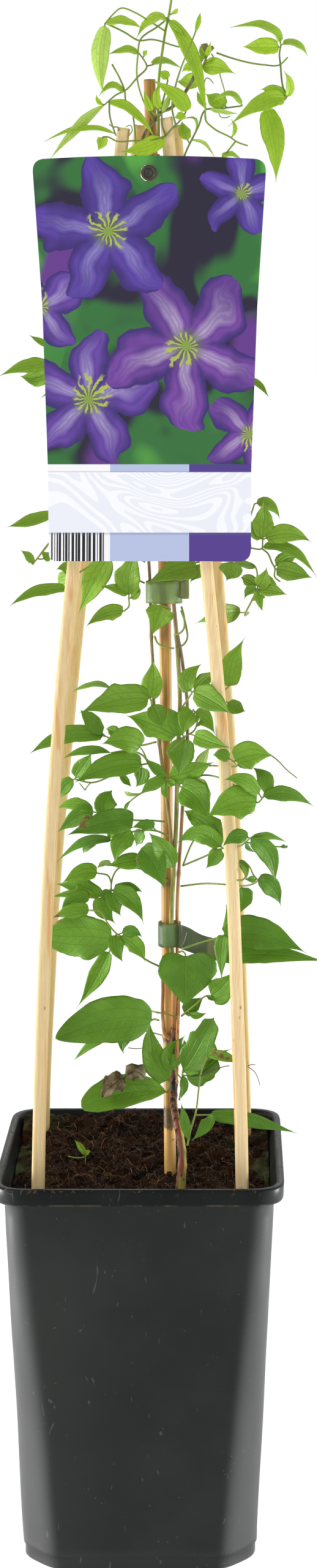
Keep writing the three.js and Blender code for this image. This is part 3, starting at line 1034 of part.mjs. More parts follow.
      [30, 398, 20, 402, 8, 399, 18, 28, 13, 120, 'ovate'],
      [30, 398, 32.5, 407, 36.5, 415, 18, 22, 8, 140, 'ovate'],
    ],
  },
  spray_back_low: {
    stalks: [[[8.7, 272, -12.4], [4, 273, -4], [-5, 272, 14]]],
    leaves: [
      [-5, 272, -16, 268, -28, 262, 14, 24, 14, 150, 'ovate'],
      [-5, 272, -12, 274.5, -22, 275, 13, 20, 9, 120, 'ovate'],
    ],
  },
};

const LEAF_COLOURS = [0x4f8f2c, 0x5a9a32, 0x48862a, 0x66a63a];
const BRIGHT = 0x8fc63f;

function line3(rows) {
  return rows.map(([x, z, y]) => at(x, z, y));
}

// Nearest point of a spray's stalks to a leaflet's base, kept `inset` mm inside a stalk's ends.
function nearest(lines, p, inset) {
  let best = null;
  let least = Infinity;
  lines.forEach((row) => {
    for (let i = 0; i + 1 < row.length; i += 1) {
      const run = new THREE.Line3(row[i], row[i + 1]);
      const share = Math.min(0.5, inset / run.distance());
      const low = i === 0 ? share : 0;
      const high = i + 2 === row.length ? 1 - share : 1;
      const t = Math.min(high, Math.max(low, run.closestPointToPointParameter(p, true)));
      const q = run.at(t, new THREE.Vector3());
      if (q.distanceTo(p) < least) {
        least = q.distanceTo(p);
        best = q;
      }
    }
  });
  return best;
}

function leaflet(lines, [x0, z0, xm, zm, x1, z1, y0, y1, width, roll, kind], inset) {
  const base = at(x0, z0, y0);
  const start = nearest(lines, base, inset);
  return blade(start, base, at(xm, zm, (y0 + y1) / 2), at(x1, z1, y1), width, roll, kind);
}

function spray({ thick = [], stalks = [], leaves = [] }) {
  const wide = thick.map(line3);
  const thin = stalks.map(line3);
  const bodies = [
    ...wide.map((row) => solid(tube(row, 0.8, DIAMOND))),
    ...thin.map((row) => solid(tube(row, STALK, TRIANGLE))),
  ];
  leaves.forEach((row, i) => bodies.push(leaflet([...wide, ...thin], row, 0.7 + 0.37 * (i % 5))));
  return join(bodies).simplify(SLIVER);
}

Object.entries(SPRAYS).forEach(([name, parts], i) => {
  const young = parts.leaves[0][1] > 700;
  add(name, spray(parts), young ? BRIGHT : LEAF_COLOURS[i % LEAF_COLOURS.length], 0.5);
});

// a dry brown leaflet caught on the lowest leaf
const DRY = [at(-8, 238, -34), at(-9, 237.4, -34.6), at(-14, 233.5, -38), at(-21, 227, -42)];
add('dead_leaf', blade(...DRY, 8, 50, 'ovate'), 0x6b4a2f, 0.85);

// a seedling standing on the soil
const seat = new THREE.Vector3(-31, 6, ground(-31, 6) + 1);
const crown = seat.clone().add(new THREE.Vector3(0, -0.5, 4.5));
const seedling = [solid(tube([seat, crown], STALK, TRIANGLE))];
[[-6.5, -2, 1.5], [6.5, 1, 0.5], [1, 5, 2]].forEach(([x, y, z]) => {
  const tip = crown.clone().add(new THREE.Vector3(x, y, z));
  const middle = crown.clone().lerp(tip, 0.5).add(new THREE.Vector3(0, 0, 0.8));
  seedling.push(blade(crown, crown, middle, tip, 3.6, 90, 'ovate'));
});
add('seedling', join(seedling), 0x6f9a3a, 0.6);

export default plant;
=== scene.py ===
# %% [markdown]
# # A young clematis on a wigwam of split canes
# The solids of the plant, its pot and its canes come ready made from the frame. They are in metres, with
# the origin in the middle of the pot's underside, +Z up and the front towards -Y. This lesson dresses
# them: each plain solid is replaced by a finer mesh of the same form, or keeps its form and gets a
# better finish. All sizes below are in millimetres, because that is how a grower would measure them.

# %% Load the frame
import math
import random
from functools import partialmethod

import bpy
import numpy as np
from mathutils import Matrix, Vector, noise


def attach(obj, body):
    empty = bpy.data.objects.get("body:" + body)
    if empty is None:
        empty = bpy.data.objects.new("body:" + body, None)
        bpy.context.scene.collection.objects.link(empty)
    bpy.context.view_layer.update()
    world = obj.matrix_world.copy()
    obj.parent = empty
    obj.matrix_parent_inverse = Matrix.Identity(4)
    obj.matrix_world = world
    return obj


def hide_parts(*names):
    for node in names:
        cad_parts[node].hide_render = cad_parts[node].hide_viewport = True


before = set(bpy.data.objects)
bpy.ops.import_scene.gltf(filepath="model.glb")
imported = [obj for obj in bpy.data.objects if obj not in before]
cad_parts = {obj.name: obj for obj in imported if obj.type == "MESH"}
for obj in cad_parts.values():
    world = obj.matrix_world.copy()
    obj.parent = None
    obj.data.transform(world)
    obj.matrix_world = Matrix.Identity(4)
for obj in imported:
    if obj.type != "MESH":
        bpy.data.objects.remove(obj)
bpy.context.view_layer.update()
MM = 0.001
print("solids in the frame:", len(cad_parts))

# %% [markdown]
# ## Helpers for meshes
# Nearly everything here is either a tube along a bent line or a thin sheet, so three small helpers go a
# long way. `flowing` draws a smooth line through a few measured points, `tube` puts rings round such a
# line, and a `Pile` gathers many small shapes into one mesh, with numbers on each point that the
# materials can read later. Plain lists of points were chosen over modifiers, because a mesh made this way
# is the same on every run.

# %% Lines and tubes
def flowing(points, step):
    """A smooth line through the points, with a point about every `step` mm."""
    p = np.array(points, float)
    t = np.concatenate([[0], np.cumsum(np.linalg.norm(np.diff(p, axis=0), axis=1))])
    slopes = np.gradient(p, t, axis=0) if len(p) > 2 else np.tile((p[1] - p[0]) / t[1], (2, 1))
    s = np.linspace(0, t[-1], max(2, round(t[-1] / step) + 1))
    k = np.clip(np.searchsorted(t, s, side="right") - 1, 0, len(p) - 2)
    h = (t[k + 1] - t[k])[:, None]
    u = (s - t[k])[:, None] / h
    start = (1 + 2 * u) * (1 - u) ** 2 * p[k] + u * (1 - u) ** 2 * h * slopes[k]
    return start + u * u * (3 - 2 * u) * p[k + 1] + u * u * (u - 1) * h * slopes[k + 1]


def unit(v):
    """The same direction at length 1."""
    return v / np.maximum(np.linalg.norm(v, axis=-1, keepdims=True), 1e-9)


def hoops(rows, sides, capped=True):
    """Faces between rows of points that each close to a hoop, with the two end hoops capped."""
    faces = []
    for a in range(0, (rows - 1) * sides, sides):
        b = a + sides
        faces += [(a + i, a + (i + 1) % sides, b + (i + 1) % sides, b + i) for i in range(sides)]
    if capped:
        faces += [tuple(range(sides))[::-1], tuple(range((rows - 1) * sides, rows * sides))]
    return faces


def rings(line, radii, section):
    """Points of a cross-section carried along a line, and the faces between them."""
    line = np.asarray(line, float)
    radii = np.broadcast_to(np.asarray(radii, float), len(line))
    along = unit(np.gradient(line, axis=0))
    side = np.array([1.0, 0, 0]) if abs(along[0, 0]) < 0.9 else np.array([0, 1.0, 0])
    points = []
    for p, t, r in zip(line, along, radii):
        side = unit(side - t * side.dot(t))
        other = np.cross(t, side)
        points.append(p + r * (section[:, :1] * side + section[:, 1:] * other))
    return np.concatenate(points), hoops(len(line), len(section))


def circle(sides):
    """Unit points round a circle."""
    turn = np.arange(sides) * 2 * math.pi / sides
    return np.stack([np.cos(turn), np.sin(turn)], 1)


def tube(line, radii, sides=8):
    """A round tube along a line."""
    return rings(line, radii, circle(sides))


# %% Piles
class Pile:
    """Small shapes gathered for one mesh."""

    def __init__(self):
        self.points = []
        self.faces = []
        self.marks = {}
        self.count = 0

    def add(self, points, faces, **marks):
        """Take one shape, with its numbers: one for the shape, or one for each of its points."""
        self.points.append(np.asarray(points, float))
        self.faces += [[i + self.count for i in face] for face in faces]
        for key, value in marks.items():
            self.marks.setdefault(key, []).append(np.broadcast_to(value, len(points)))
        self.count += len(points)


# %% Pieces
def piece(name, points, faces, finish, slot, node=None, marks=None, smooth=True):
    """Make the object, let it ride on the root, and let it stand for a solid of the frame."""
    mesh = bpy.data.meshes.new(name)
    mesh.from_pydata((np.asarray(points) * MM).tolist(), [], faces)
    mesh.materials.append(finish.material)
    mesh.polygons.foreach_set("use_smooth", [smooth] * len(mesh.polygons))
    for key, values in (marks or {}).items():
        mark = mesh.attributes.new(key, "FLOAT", "POINT")
        mark.data.foreach_set("value", np.concatenate(values).astype(np.float32))
    made = bpy.data.objects.new(name, mesh)
    bpy.context.scene.collection.objects.link(made)
    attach(made, "root")
    if node:
        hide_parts(node)
    print(f"{name}: {sum(len(f) - 2 for f in faces)} triangles")
    return made


def heap(name, pile, finish, slot, node=None, smooth=True):
    """Turn a pile into a piece."""
    return piece(name, np.concatenate(pile.points), pile.faces, finish, slot, node, pile.marks, smooth)


# %% [markdown]
# ## Helpers for finishes
# A finish is a Principled shader with a few textures in front of it. The `Finish` class only gives short
# names to Blender's own nodes, so that a material reads as a sentence: `grain` is noise, `cells` are
# Voronoi cells, `span` fades between two values, `blend` mixes two colours, `coat` lays one colour over
# another, and `times`, `plus` and the like are Math nodes. All textures are placed by object coordinates
# or by numbers kept on the mesh, so they stay on the surface from every side.

# %% Colours
def tint(code):
    """A web colour as the linear colour that Blender wants."""
    parts = [int(code[i:i + 2], 16) / 255 for i in (0, 2, 4)]
    return (*[c / 12.92 if c < 0.04045 else ((c + 0.055) / 1.055) ** 2.4 for c in parts], 1)


# %% Finishes
class Finish:
    """A material with short names for its nodes."""

    def __init__(self, name, **sockets):
        self.material = bpy.data.materials.new(name)
        self.material.use_nodes = True
        self.tree = self.material.node_tree
        self.shader = self.tree.nodes["Principled BSDF"]
        self.place = self.node("TexCoord").outputs["Object"]
        for key, value in sockets.items():
            self.set(key.replace("_", " "), value)

    def node(self, kind, **settings):
        made = self.tree.nodes.new("ShaderNode" + kind)
        for key, value in settings.items():
            setattr(made, key, value)
        return made

    def feed(self, socket, value):
        if isinstance(value, bpy.types.NodeSocket):
            self.tree.links.new(value, socket)
        elif isinstance(value, str):
            socket.default_value = tint(value)
        else:
            socket.default_value = value

    def set(self, socket, value):
        self.feed(self.shader.inputs[socket], value)

    def math(self, operation, a, b=0.0):
        made = self.node("Math", operation=operation)
        for socket, value in zip(made.inputs, (a, b)):
            self.feed(socket, value)
        return made.outputs[0]

    times = partialmethod(math, "MULTIPLY")
    over = partialmethod(math, "DIVIDE")
    plus = partialmethod(math, "ADD")
    minus = partialmethod(math, "SUBTRACT")
    larger = partialmethod(math, "MAXIMUM")
    above = partialmethod(math, "GREATER_THAN")
    below = partialmethod(math, "LESS_THAN")
    absolute = partialmethod(math, "ABSOLUTE")

    def axis(self, name, source=None):
        split = self.node("SeparateXYZ")
        self.feed(split.inputs[0], source or self.place)
        return split.outputs[name]

    def mark(self, name):
        return self.node("Attribute", attribute_name=name).outputs["Fac"]

    def stretched(self, stretch):
        made = self.node("Mapping")
        made.inputs["Scale"].default_value = stretch
        self.feed(made.inputs["Vector"], self.place)
        return made.outputs[0]

    def grain(self, scale, detail=3.0, rough=0.55, stretch=(1, 1, 1), warp=0.0):
        made = self.node("TexNoise")
        self.feed(made.inputs["Vector"], self.stretched(stretch))
        for key, value in (("Scale", scale), ("Detail", detail), ("Roughness", rough), ("Distortion", warp)):
            made.inputs[key].default_value = value
        return made.outputs["Fac"]

    def cells(self, scale, stretch=(1, 1, 1), feature="F1"):
        made = self.node("TexVoronoi", feature=feature)
        self.feed(made.inputs["Vector"], self.stretched(stretch))
        made.inputs["Scale"].default_value = scale
        return made.outputs["Distance"]

    def span(self, value, low, high, to_low=0.0, to_high=1.0):
        """Fade smoothly from one value to another while the input goes from low to high."""
        made = self.node("MapRange", interpolation_type="SMOOTHSTEP")
        for socket, number in zip(made.inputs, (value, low, high, to_low, to_high)):
            self.feed(socket, number)
        return made.outputs[0]

    def blend(self, amount, a, b):
        made = self.node("Mix", data_type="RGBA")
        for index, value in ((0, amount), (6, a), (7, b)):
            self.feed(made.inputs[index], value)
        return made.outputs[2]

    def coat(self, under, colour, mask, strength):
        """Lay a colour over another where the mask is, at no more than the strength."""
        return self.blend(self.times(mask, strength), under, colour)

    def bumps(self, *layers):
        """Stack relief: each layer is a height and its depth in mm."""
        normal = None
        for height, depth in layers:
            made = self.node("Bump")
            made.inputs["Distance"].default_value = depth * MM
            self.feed(made.inputs["Height"], height)
            if normal:
                self.feed(made.inputs["Normal"], normal)
            normal = made.outputs[0]
        self.set("Normal", normal)


# %% [markdown]
# ## Camera, floor and light
# A tall thin subject is best seen from a level camera in front of its upper half, so that upright canes
# stay upright. Instead of tilting the camera down, its lens is shifted down, as an architect's camera
# is. Floor and world are white on every side. The light is soft and comes from all sides, so that black
# plastic shows long pale reflections along its corners and the leaves keep their colour.

# %% Camera
EYE = (46, -1451, 629)  # place of the lens
FRAME_HEIGHT = 2560  # picture height, in its own pixels
FOCUS = 4412  # focal length, in the same pixels
SENSOR = 36.0  # in mm, and it stands for the picture height
SHIFT = (-114 / FRAME_HEIGHT, -712 / FRAME_HEIGHT)  # of the lens, in parts of the picture height

camera_data = bpy.data.cameras.new("camera")
camera_data.sensor_width = SENSOR
camera_data.lens = FOCUS / FRAME_HEIGHT * SENSOR
camera_data.shift_x, camera_data.shift_y = SHIFT
camera = bpy.data.objects.new("camera", camera_data)
camera.location = Vector(EYE) * MM
camera.rotation_euler = (math.pi / 2, 0, 0)
bpy.context.scene.collection.objects.link(camera)
bpy.context.scene.camera = camera
print("lens:", round(camera_data.lens, 1), "mm")

# %% Floor
FLOOR_HALF = 60000  # so wide that its far edge meets the white of the world at the horizon
floor_points = [(x, y, 0.0) for y in (-FLOOR_HALF, FLOOR_HALF) for x in (-FLOOR_HALF, FLOOR_HALF)]

pale_floor = Finish("studio_paper", Roughness=0.85)
pale_floor.set("Base Color", pale_floor.blend(pale_floor.grain(3), "656565", "606060"))
pale_floor.set("Emission Color", "ffffff")
pale_floor.set("Emission Strength", 0.93)
pale_floor.bumps((pale_floor.grain(900), 0.05))
floor_mesh = bpy.data.meshes.new("floor")
floor_mesh.from_pydata([tuple(c * MM for c in p) for p in floor_points], [], [(0, 1, 3, 2)])
floor_mesh.materials.append(pale_floor.material)
floor = bpy.data.objects.new("floor", floor_mesh)
bpy.context.scene.collection.objects.link(floor)

# %% Lights
def softbox(name, place, aim, size, watts):
    """A square lamp that looks at a point."""
    lamp = bpy.data.lights.new(name, "AREA")
    lamp.size = size * MM
    lamp.energy = watts
    made = bpy.data.objects.new(name, lamp)
    made.location = Vector(place) * MM
    made.rotation_euler = (Vector(aim) - Vector(place)).to_track_quat("-Z", "Y").to_euler()
    made.visible_camera = False
    bpy.context.scene.collection.objects.link(made)


MIDDLE = (0, 0, 400)
softbox("key", (-1300, -1500, 1700), MIDDLE, 1200, 20)
softbox("fill", (1500, -1300, 900), MIDDLE, 1400, 5)
softbox("left_edge", (-1100, 40, 150), (0, 0, 120), 420, 22)
softbox("right_edge", (1100, 40, 150), (0, 0, 120), 420, 14)
softbox("back", (300, 1700, 1500), MIDDLE, 1400, 10)

world = bpy.data.worlds.new("studio")
world.use_nodes = True
sky = world.node_tree
backdrop = sky.nodes["Background"]
backdrop.inputs["Color"].default_value = (1, 1, 1, 1)
way = sky.nodes.new("ShaderNodeSeparateXYZ")
sky.links.new(sky.nodes.new("ShaderNodeTexCoord").outputs["Generated"], way.inputs[0])
glow = sky.nodes.new("ShaderNodeMapRange")  # the room behind the plant is lighter than the room in front
FRONT_EDGE, BACK_EDGE, FRONT_GLOW, BACK_GLOW = 0.1, 0.5, 0.5, 0.93
for socket, number in zip(list(glow.inputs)[1:5], (FRONT_EDGE, BACK_EDGE, FRONT_GLOW, BACK_GLOW)):
    socket.default_value = number
sky.links.new(way.outputs["Y"], glow.inputs[0])
seen_white = sky.nodes.new("ShaderNodeMix")  # the world itself is seen as plain white
sky.links.new(sky.nodes.new("ShaderNodeLightPath").outputs["Is Camera Ray"], seen_white.inputs[0])
sky.links.new(glow.outputs[0], seen_white.inputs[2])
seen_white.inputs[3].default_value = 1.0
sky.links.new(seen_white.outputs[0], backdrop.inputs["Strength"])
bpy.context.scene.world = world
bpy.context.scene.view_settings.view_transform = "Standard"  # keeps white paper white

# %% [markdown]
# ## Placing things from an elevation
# The stems and leaves were set out on a perspective elevation: a drawing of the plant as seen from the
# lens. A point of it has a left-right reading, a height reading and a depth. `at` turns such a reading
# into a real place, by sliding it along the line of sight to its depth.

# %% From the elevation to the room
def at(x, z, y=0.0):
    """The place of an elevation reading at a depth."""
    scale = 1 - y / EYE[1]
    return np.array([EYE[0] + (x - EYE[0]) * scale, y, EYE[2] + (z - EYE[2]) * scale])


def places(rows):
    """Elevation readings, each (x, z, depth), as places."""
    return np.array([at(*row[:3]) for row in rows])


# %% [markdown]
# ## The pot
# A nursery pot is blown or moulded from black plastic with a wall of about a millimetre and a half. Its
# section is a rounded square under the rim, and its corners flatten into chamfers that widen towards the
# foot. A stack of section rings makes it: each ring has a height, a half width, a corner size and how
# flat its corner is. The rings are rounded a little where a chamfer meets a side, because moulded
# plastic has no sharp edge there.

# %% Section rings
POT_H = 200
RIM = 75  # half widths of the rim, of the body under it and of the body's foot
BODY_TOP = 70.2
BODY_FOOT = 61
FOOT_H = 7  # height of the set-back foot
WALL = 1.6  # thickness
SOFTENING = 5  # rounds of smoothing on each ring

BODY = [
    (FOOT_H, BODY_FOOT, 16, 1), (60, 63.6, 14, 1), (110, 66, 11.5, 0.9),
    (150, 68, 9.5, 0.6), (172, 69.1, 9.5, 0.2), (POT_H - 2, BODY_TOP, 9.5, 0),
]


def square_ring(z, half, corner, flat, per_side=40):
    """One ring of the pot: a square with round or flat corners, evenly divided and softened."""
    outline = []
    for quarter in range(4):
        for i in range(9):
            turn = i / 8 * math.pi / 2
            round_x = half - corner + corner * math.cos(turn)
            round_y = half - corner + corner * math.sin(turn)
            x = round_x + flat * (half - corner * i / 8 - round_x)
            y = round_y + flat * (half - corner + corner * i / 8 - round_y)
            spin = quarter * math.pi / 2
            outline.append((x * math.cos(spin) - y * math.sin(spin), x * math.sin(spin) + y * math.cos(spin)))
    p = np.array(outline + outline[:1])
    t = np.concatenate([[0], np.cumsum(np.linalg.norm(np.diff(p, axis=0), axis=1))])
    s = np.arange(4 * per_side) / (4 * per_side) * t[-1]
    ring = np.stack([np.interp(s, t, p[:, 0]), np.interp(s, t, p[:, 1])], 1)
    for _ in range(SOFTENING):
        ring = 0.5 * ring + 0.25 * np.roll(ring, 1, 0) + 0.25 * np.roll(ring, -1, 0)
    return np.column_stack([ring, np.full(len(ring), z)])


def filled(table, step):
    """Ring settings between the listed ones, one every `step` mm of height."""
    t = np.array(table, float)
    z = np.linspace(t[0, 0], t[-1, 0], max(2, round(abs(t[-1, 0] - t[0, 0]) / step)))
    order = np.argsort(t[:, 0])
    return [(h, *[float(np.interp(h, t[order, 0], t[order, k])) for k in (1, 2, 3)]) for h in z]


# %% [markdown]
# The body's finish is nearly black and slightly satin. Handling has left it with faint cloudy wear, a few
# pale dust specks and hair-thin scratches, and wet peat has dried brown on the rim. Its lower left side is
# also painted lighter, as a painted reflection of the light from the left. Each of those is one mask over
# the same base colour.

# %% Black pot plastic
shell = Finish("pot_plastic_black")
cloud = shell.grain(14, 4, 0.6)
black = shell.blend(shell.span(cloud, 0.3, 0.75), "131616", "212523")
# painted light: the lower left side of the body is made lighter, a painted reflection of the light from the
# left
left_side_painted_light = shell.times(shell.span(shell.axis("X"), 0.005, -0.05), shell.span(shell.axis("Z"), 0.19, 0.15))
black = shell.coat(black, "2b2d2b", left_side_painted_light, 0.5)
speck = shell.cells(330)
seldom = shell.span(shell.grain(45, 3), 0.5, 0.62)
dust = shell.times(shell.span(speck, 0.09, 0.04), seldom)
dust_tone = shell.blend(shell.span(shell.grain(90, 1), 0.48, 0.52), "8f9088", "a07a3c")
black = shell.coat(black, dust_tone, dust, 0.6)
scratch = shell.span(shell.grain(150, 1, 0.4, (1, 1, 0.3), 2.5), 0.75, 0.77)
black = shell.coat(black, "70757a", scratch, 0.22)
height = shell.axis("Z")
soiled = shell.times(shell.span(height, 0.196, 0.1998), shell.span(shell.grain(300, 4, 0.6), 0.58, 0.66))
black = shell.coat(black, "5a4630", soiled, 0.8)
skirt = shell.span(shell.absolute(shell.minus(height, 0.1918)), 0.0006, 0.0003)
skirt_dirt = shell.times(skirt, shell.span(shell.grain(90, 4, 0.6), 0.48, 0.6))
black = shell.coat(black, "6b6048", skirt_dirt, 0.5)
splash = shell.times(shell.span(height, 0.05, 0.19), shell.span(shell.grain(26, 6, 0.7), 0.6, 0.75))
black = shell.coat(black, "5b5a48", splash, 0.16)
shell.set("Base Color", black)
smooth_side = shell.node("NewGeometry").outputs["Normal"]
corner = shell.absolute(shell.times(shell.axis("X", smooth_side), shell.axis("Y", smooth_side)))
polish = shell.span(corner, 0.1, 0.5, 0.22, 1.0)
shell.set("Specular IOR Level", shell.times(polish, shell.span(height, 0.193, 0.189, 0.35, 1)))
rough = shell.span(cloud, 0.3, 0.7, 0.3, 0.42)
shell.set("Roughness", shell.larger(rough, shell.times(soiled, 0.85)))
shell.bumps((shell.grain(18, 3), 0.35), (shell.grain(900, 2), 0.02), (soiled, 0.25))

# %% Mould the pot
outer = [
    (0, BODY_FOOT - 1.5, 15.6, 1), (0.9, BODY_FOOT - 0.9, 15.6, 1), (FOOT_H - 0.5, BODY_FOOT - 0.9, 15.6, 1),
]
outer += [row for row in filled(BODY, 5) if row[0] < POT_H - 12]
outer += [
    (POT_H - 10.2, BODY_TOP + 0.1, 9.6, 0), (POT_H - 9, BODY_TOP + 0.7, 9.8, 0),
    (POT_H - 8.5, RIM - 1.9, 10.8, 0), (POT_H - 8.4, RIM - 0.6, 11.6, 0), (POT_H - 7.8, RIM - 0.3, 11.8, 0),
    (POT_H - 4, RIM - 0.2, 11.9, 0), (POT_H - 1.3, RIM, 12, 0), (POT_H - 0.4, RIM - 0.3, 11.8, 0),
    (POT_H, RIM - 1.2, 11.2, 0), (POT_H - 0.1, RIM - 2.9, 10.4, 0), (POT_H - 0.7, RIM - 3.8, 9.8, 0),
    (POT_H - 2.4, RIM - 4.3, 9.4, 0), (POT_H - 8, BODY_TOP - WALL, 8.6, 0),
]
inner = [(z, half - WALL, corner - 0.6, flat) for z, half, corner, flat in filled(BODY[:-1], 9)][::-1]
inner += [(3.6, BODY_FOOT - WALL - 0.6, 15.4, 1), (3, BODY_FOOT - WALL - 1.2, 15.2, 1)]
stack = np.stack([square_ring(*row) for row in outer + inner])
ripple = np.array([[noise.noise(Vector((x, y, z)) * 0.02) for x, y, z in ring] for ring in stack])
body_rows = (stack[:, 0, 2] > FOOT_H + 3) & (stack[:, 0, 2] < POT_H - 16)
stack[body_rows, :, :2] *= (1 + 0.006 * ripple[body_rows])[:, :, None]
pot_faces = hoops(*stack.shape[:2])
pot = piece("pot_shell", stack.reshape(-1, 3), pot_faces, shell, "pot_plastic", "pot")

# %% Drain holes
HOLES = [(-34, -34), (34, -34), (34, 34), (-34, 34)]
HOLE_R = 5
cutters = Pile()
for x, y in HOLES:
    cutters.add(*tube([(x, y, -6), (x, y, 7)], HOLE_R, 24))
cutter_mesh = bpy.data.meshes.new("drain_cutters")
cutter_mesh.from_pydata((np.concatenate(cutters.points) * MM).tolist(), [], cutters.faces)
cutter = bpy.data.objects.new("drain_cutters", cutter_mesh)
bpy.context.scene.collection.objects.link(cutter)
drill = pot.modifiers.new("drill", "BOOLEAN")
drill.object = cutter
drill.operation = "DIFFERENCE"
bpy.context.view_layer.objects.active = pot
bpy.ops.object.modifier_apply(modifier="drill")
bpy.data.objects.remove(cutter)

# %% [markdown]
# ## The soil
# Potting peat is dark, lumpy and full of fibres. The bed is one fine sheet of points whose heights come
# from several layers of noise: slow swells, then lumps, then crumbs. Loose crumbs and fine roots are
# scattered on top as real pieces of mesh, because a bump alone would look painted on at the pot's edge. In
# the damp corners some of it has greened over.

# %% Shape of the bed
BED_CELLS = 150  # along each side
BED_HALF = 68.0  # half the width
BED_CORNER = 9.0  # radius of its corners
MOUND, MOUND_X, MOUND_Y = 4.5, 22, -46  # peat heaped against the rootstock
BANK, BANK_START, BANK_RUN = 4.2, 38, 24  # how the peat rises towards the back wall


def ground(x, y):
    """Height of the soil, before its lumps."""
    fine = math.sin(0.31 * x + 1.3) * math.sin(0.37 * y + 0.4) + math.sin(0.53 * x - 0.29 * y)
    coarse = math.sin(0.09 * x + 2) * math.cos(0.11 * y - 0.6)
    mound = MOUND * math.exp(-((x - MOUND_X) ** 2 + (y - MOUND_Y) ** 2) / 220)
    return 190 + 0.07 * y + 1.1 * fine + 1.3 * coarse + mound


def lumps(x, y):
    """Lumps and crumbs on the bed."""
    p = Vector((x, y, 3.7))
    clod = noise.fractal(p * 0.11, 0.9, 2.1, 4)
    crumb = abs(noise.noise(p * 0.42)) + 0.6 * abs(noise.noise(p * 0.95))
    bank = BANK * max(0, min(1, (y - BANK_START) / BANK_RUN))
    return 1.9 * clod + 2.3 * crumb - 1.3 + bank


def in_corner(x, y):
    """Pull a point of a plain square into the pot's rounded corner."""
    reach = BED_HALF - BED_CORNER
    over_x, over_y = abs(x) - reach, abs(y) - reach
    if over_x <= 0 or over_y <= 0:
        return x, y
    pull = max(over_x, over_y) / math.hypot(over_x, over_y)
    return math.copysign(reach + over_x * pull, x), math.copysign(reach + over_y * pull, y)


def inside_wall(x, y, z):
    """Draw a point of the bed's edge in, so that it stays inside the pot at a lower height."""
    levels = np.array(BODY)
    half, corner, flat = (float(np.interp(z, levels[:, 0], levels[:, k])) for k in (1, 2, 3))
    half -= WALL + 0.6
    x, y = x * half / BED_HALF, y * half / BED_HALF
    over = max(0, abs(x) + abs(y) - 2 * half + corner * (0.6 + 0.4 * flat)) / 2
    return math.copysign(abs(x) - over, x), math.copysign(abs(y) - over, y)


# %% Sheets of points
def sheet_quads(rows, columns):
    """Quads of a sheet of points, row by row."""
    starts = [r * columns + c for r in range(rows - 1) for c in range(columns - 1)]
    return [(a, a + 1, a + columns + 1, a + columns) for a in starts]


def rim(rows, columns):
    """The points round the edge of such a sheet, in order."""
    last = (rows - 1) * columns
    return [*range(columns), *range(2 * columns - 1, last + columns, columns),
            *range(last + columns - 2, last - 1, -1), *range(last - columns, 0, -columns)]


# %% Bed of peat
bed = []
for row in range(BED_CELLS + 1):
    for column in range(BED_CELLS + 1):
        x, y = in_corner(BED_HALF * (2 * column / BED_CELLS - 1), BED_HALF * (2 * row / BED_CELLS - 1))
        bed.append((x, y, ground(x, y) + lumps(x, y)))
side = BED_CELLS + 1
bed_faces = sheet_quads(side, side)
border = loop = rim(side, side)
n = len(border)
for depth in (170, 140, 110, 60, 7, 4):  # heights of the rings that close the peat's sides
    below = list(range(len(bed), len(bed) + n))
    bed += [(*inside_wall(bed[i][0], bed[i][1], depth), depth) for i in border]
    bed_faces += [(loop[i], below[i], below[(i + 1) % n], loop[(i + 1) % n]) for i in range(n)]
    loop = below
bed_faces.append(tuple(loop)[::-1])

# %% Peat finish
peat = Finish("peat_damp", Specular_IOR_Level=0.07)
fibre = peat.grain(260, 6, 0.7, (1, 1, 0.6), 1.2)
lump = peat.grain(70, 5, 0.65)
brown = peat.blend(peat.span(lump, 0.34, 0.66), "120b07", "331e11")
brown = peat.blend(peat.span(fibre, 0.55, 0.72), brown, "4a301c")
brown = peat.blend(peat.span(peat.grain(420, 3, 0.6), 0.66, 0.74), brown, "876138")
corner_x = peat.span(peat.absolute(peat.axis("X")), 0.038, 0.062)
damp = peat.times(corner_x, peat.span(peat.grain(38, 4, 0.6), 0.44, 0.62))
brown = peat.coat(brown, "4a5233", damp, 0.7)
peat.set("Base Color", brown)
peat.set("Roughness", peat.span(fibre, 0.3, 0.7, 0.95, 0.7))
peat.bumps((lump, 1.2), (fibre, 0.6), (peat.grain(900, 2), 0.15))
piece("soil_bed", bed, bed_faces, peat, "peat", "soil")

# %% Crumbs
CRUMBS = 2400
rng = random.Random(7)


def pebble(centre, size, squash):
    """A small irregular lump: a ball of eighteen points, each pushed in or out."""
    points = []
    for lat in range(1, 4):
        for lon in range(6):
            a, b = lat * math.pi / 4, lon * math.pi / 3 + lat * 0.5
            r = size * rng.uniform(0.7, 1.25)
            wide = r * math.sin(a)
            points.append((wide * math.cos(b), wide * math.sin(b), squash * r * math.cos(a)))
    points += [(0, 0, size * squash), (0, 0, -size * squash)]
    faces = [(a, d, c, b) for a, b, c, d in hoops(3, 6, False)]
    faces += [(18, j, (j + 1) % 6) for j in range(6)] + [(19, 12 + (j + 1) % 6, 12 + j) for j in range(6)]
    return np.array(points) + centre, faces


def on_bed(margin=2.0):
    """A random place on the soil."""
    reach = BED_HALF - margin
    x, y = in_corner(rng.uniform(-reach, reach), rng.uniform(-reach, reach))
    return x * reach / BED_HALF, y * reach / BED_HALF


crumbs = Pile()
for _ in range(CRUMBS):
    x, y = on_bed()
    size = rng.choice((0.35, 0.45, 0.6, 0.8, 1.1, 1.7))
    crumbs.add(*pebble((x, y, ground(x, y) + lumps(x, y) + 0.3 * size), size, rng.uniform(0.5, 0.9)))
heap("soil_crumbs", crumbs, peat, "peat", smooth=False)

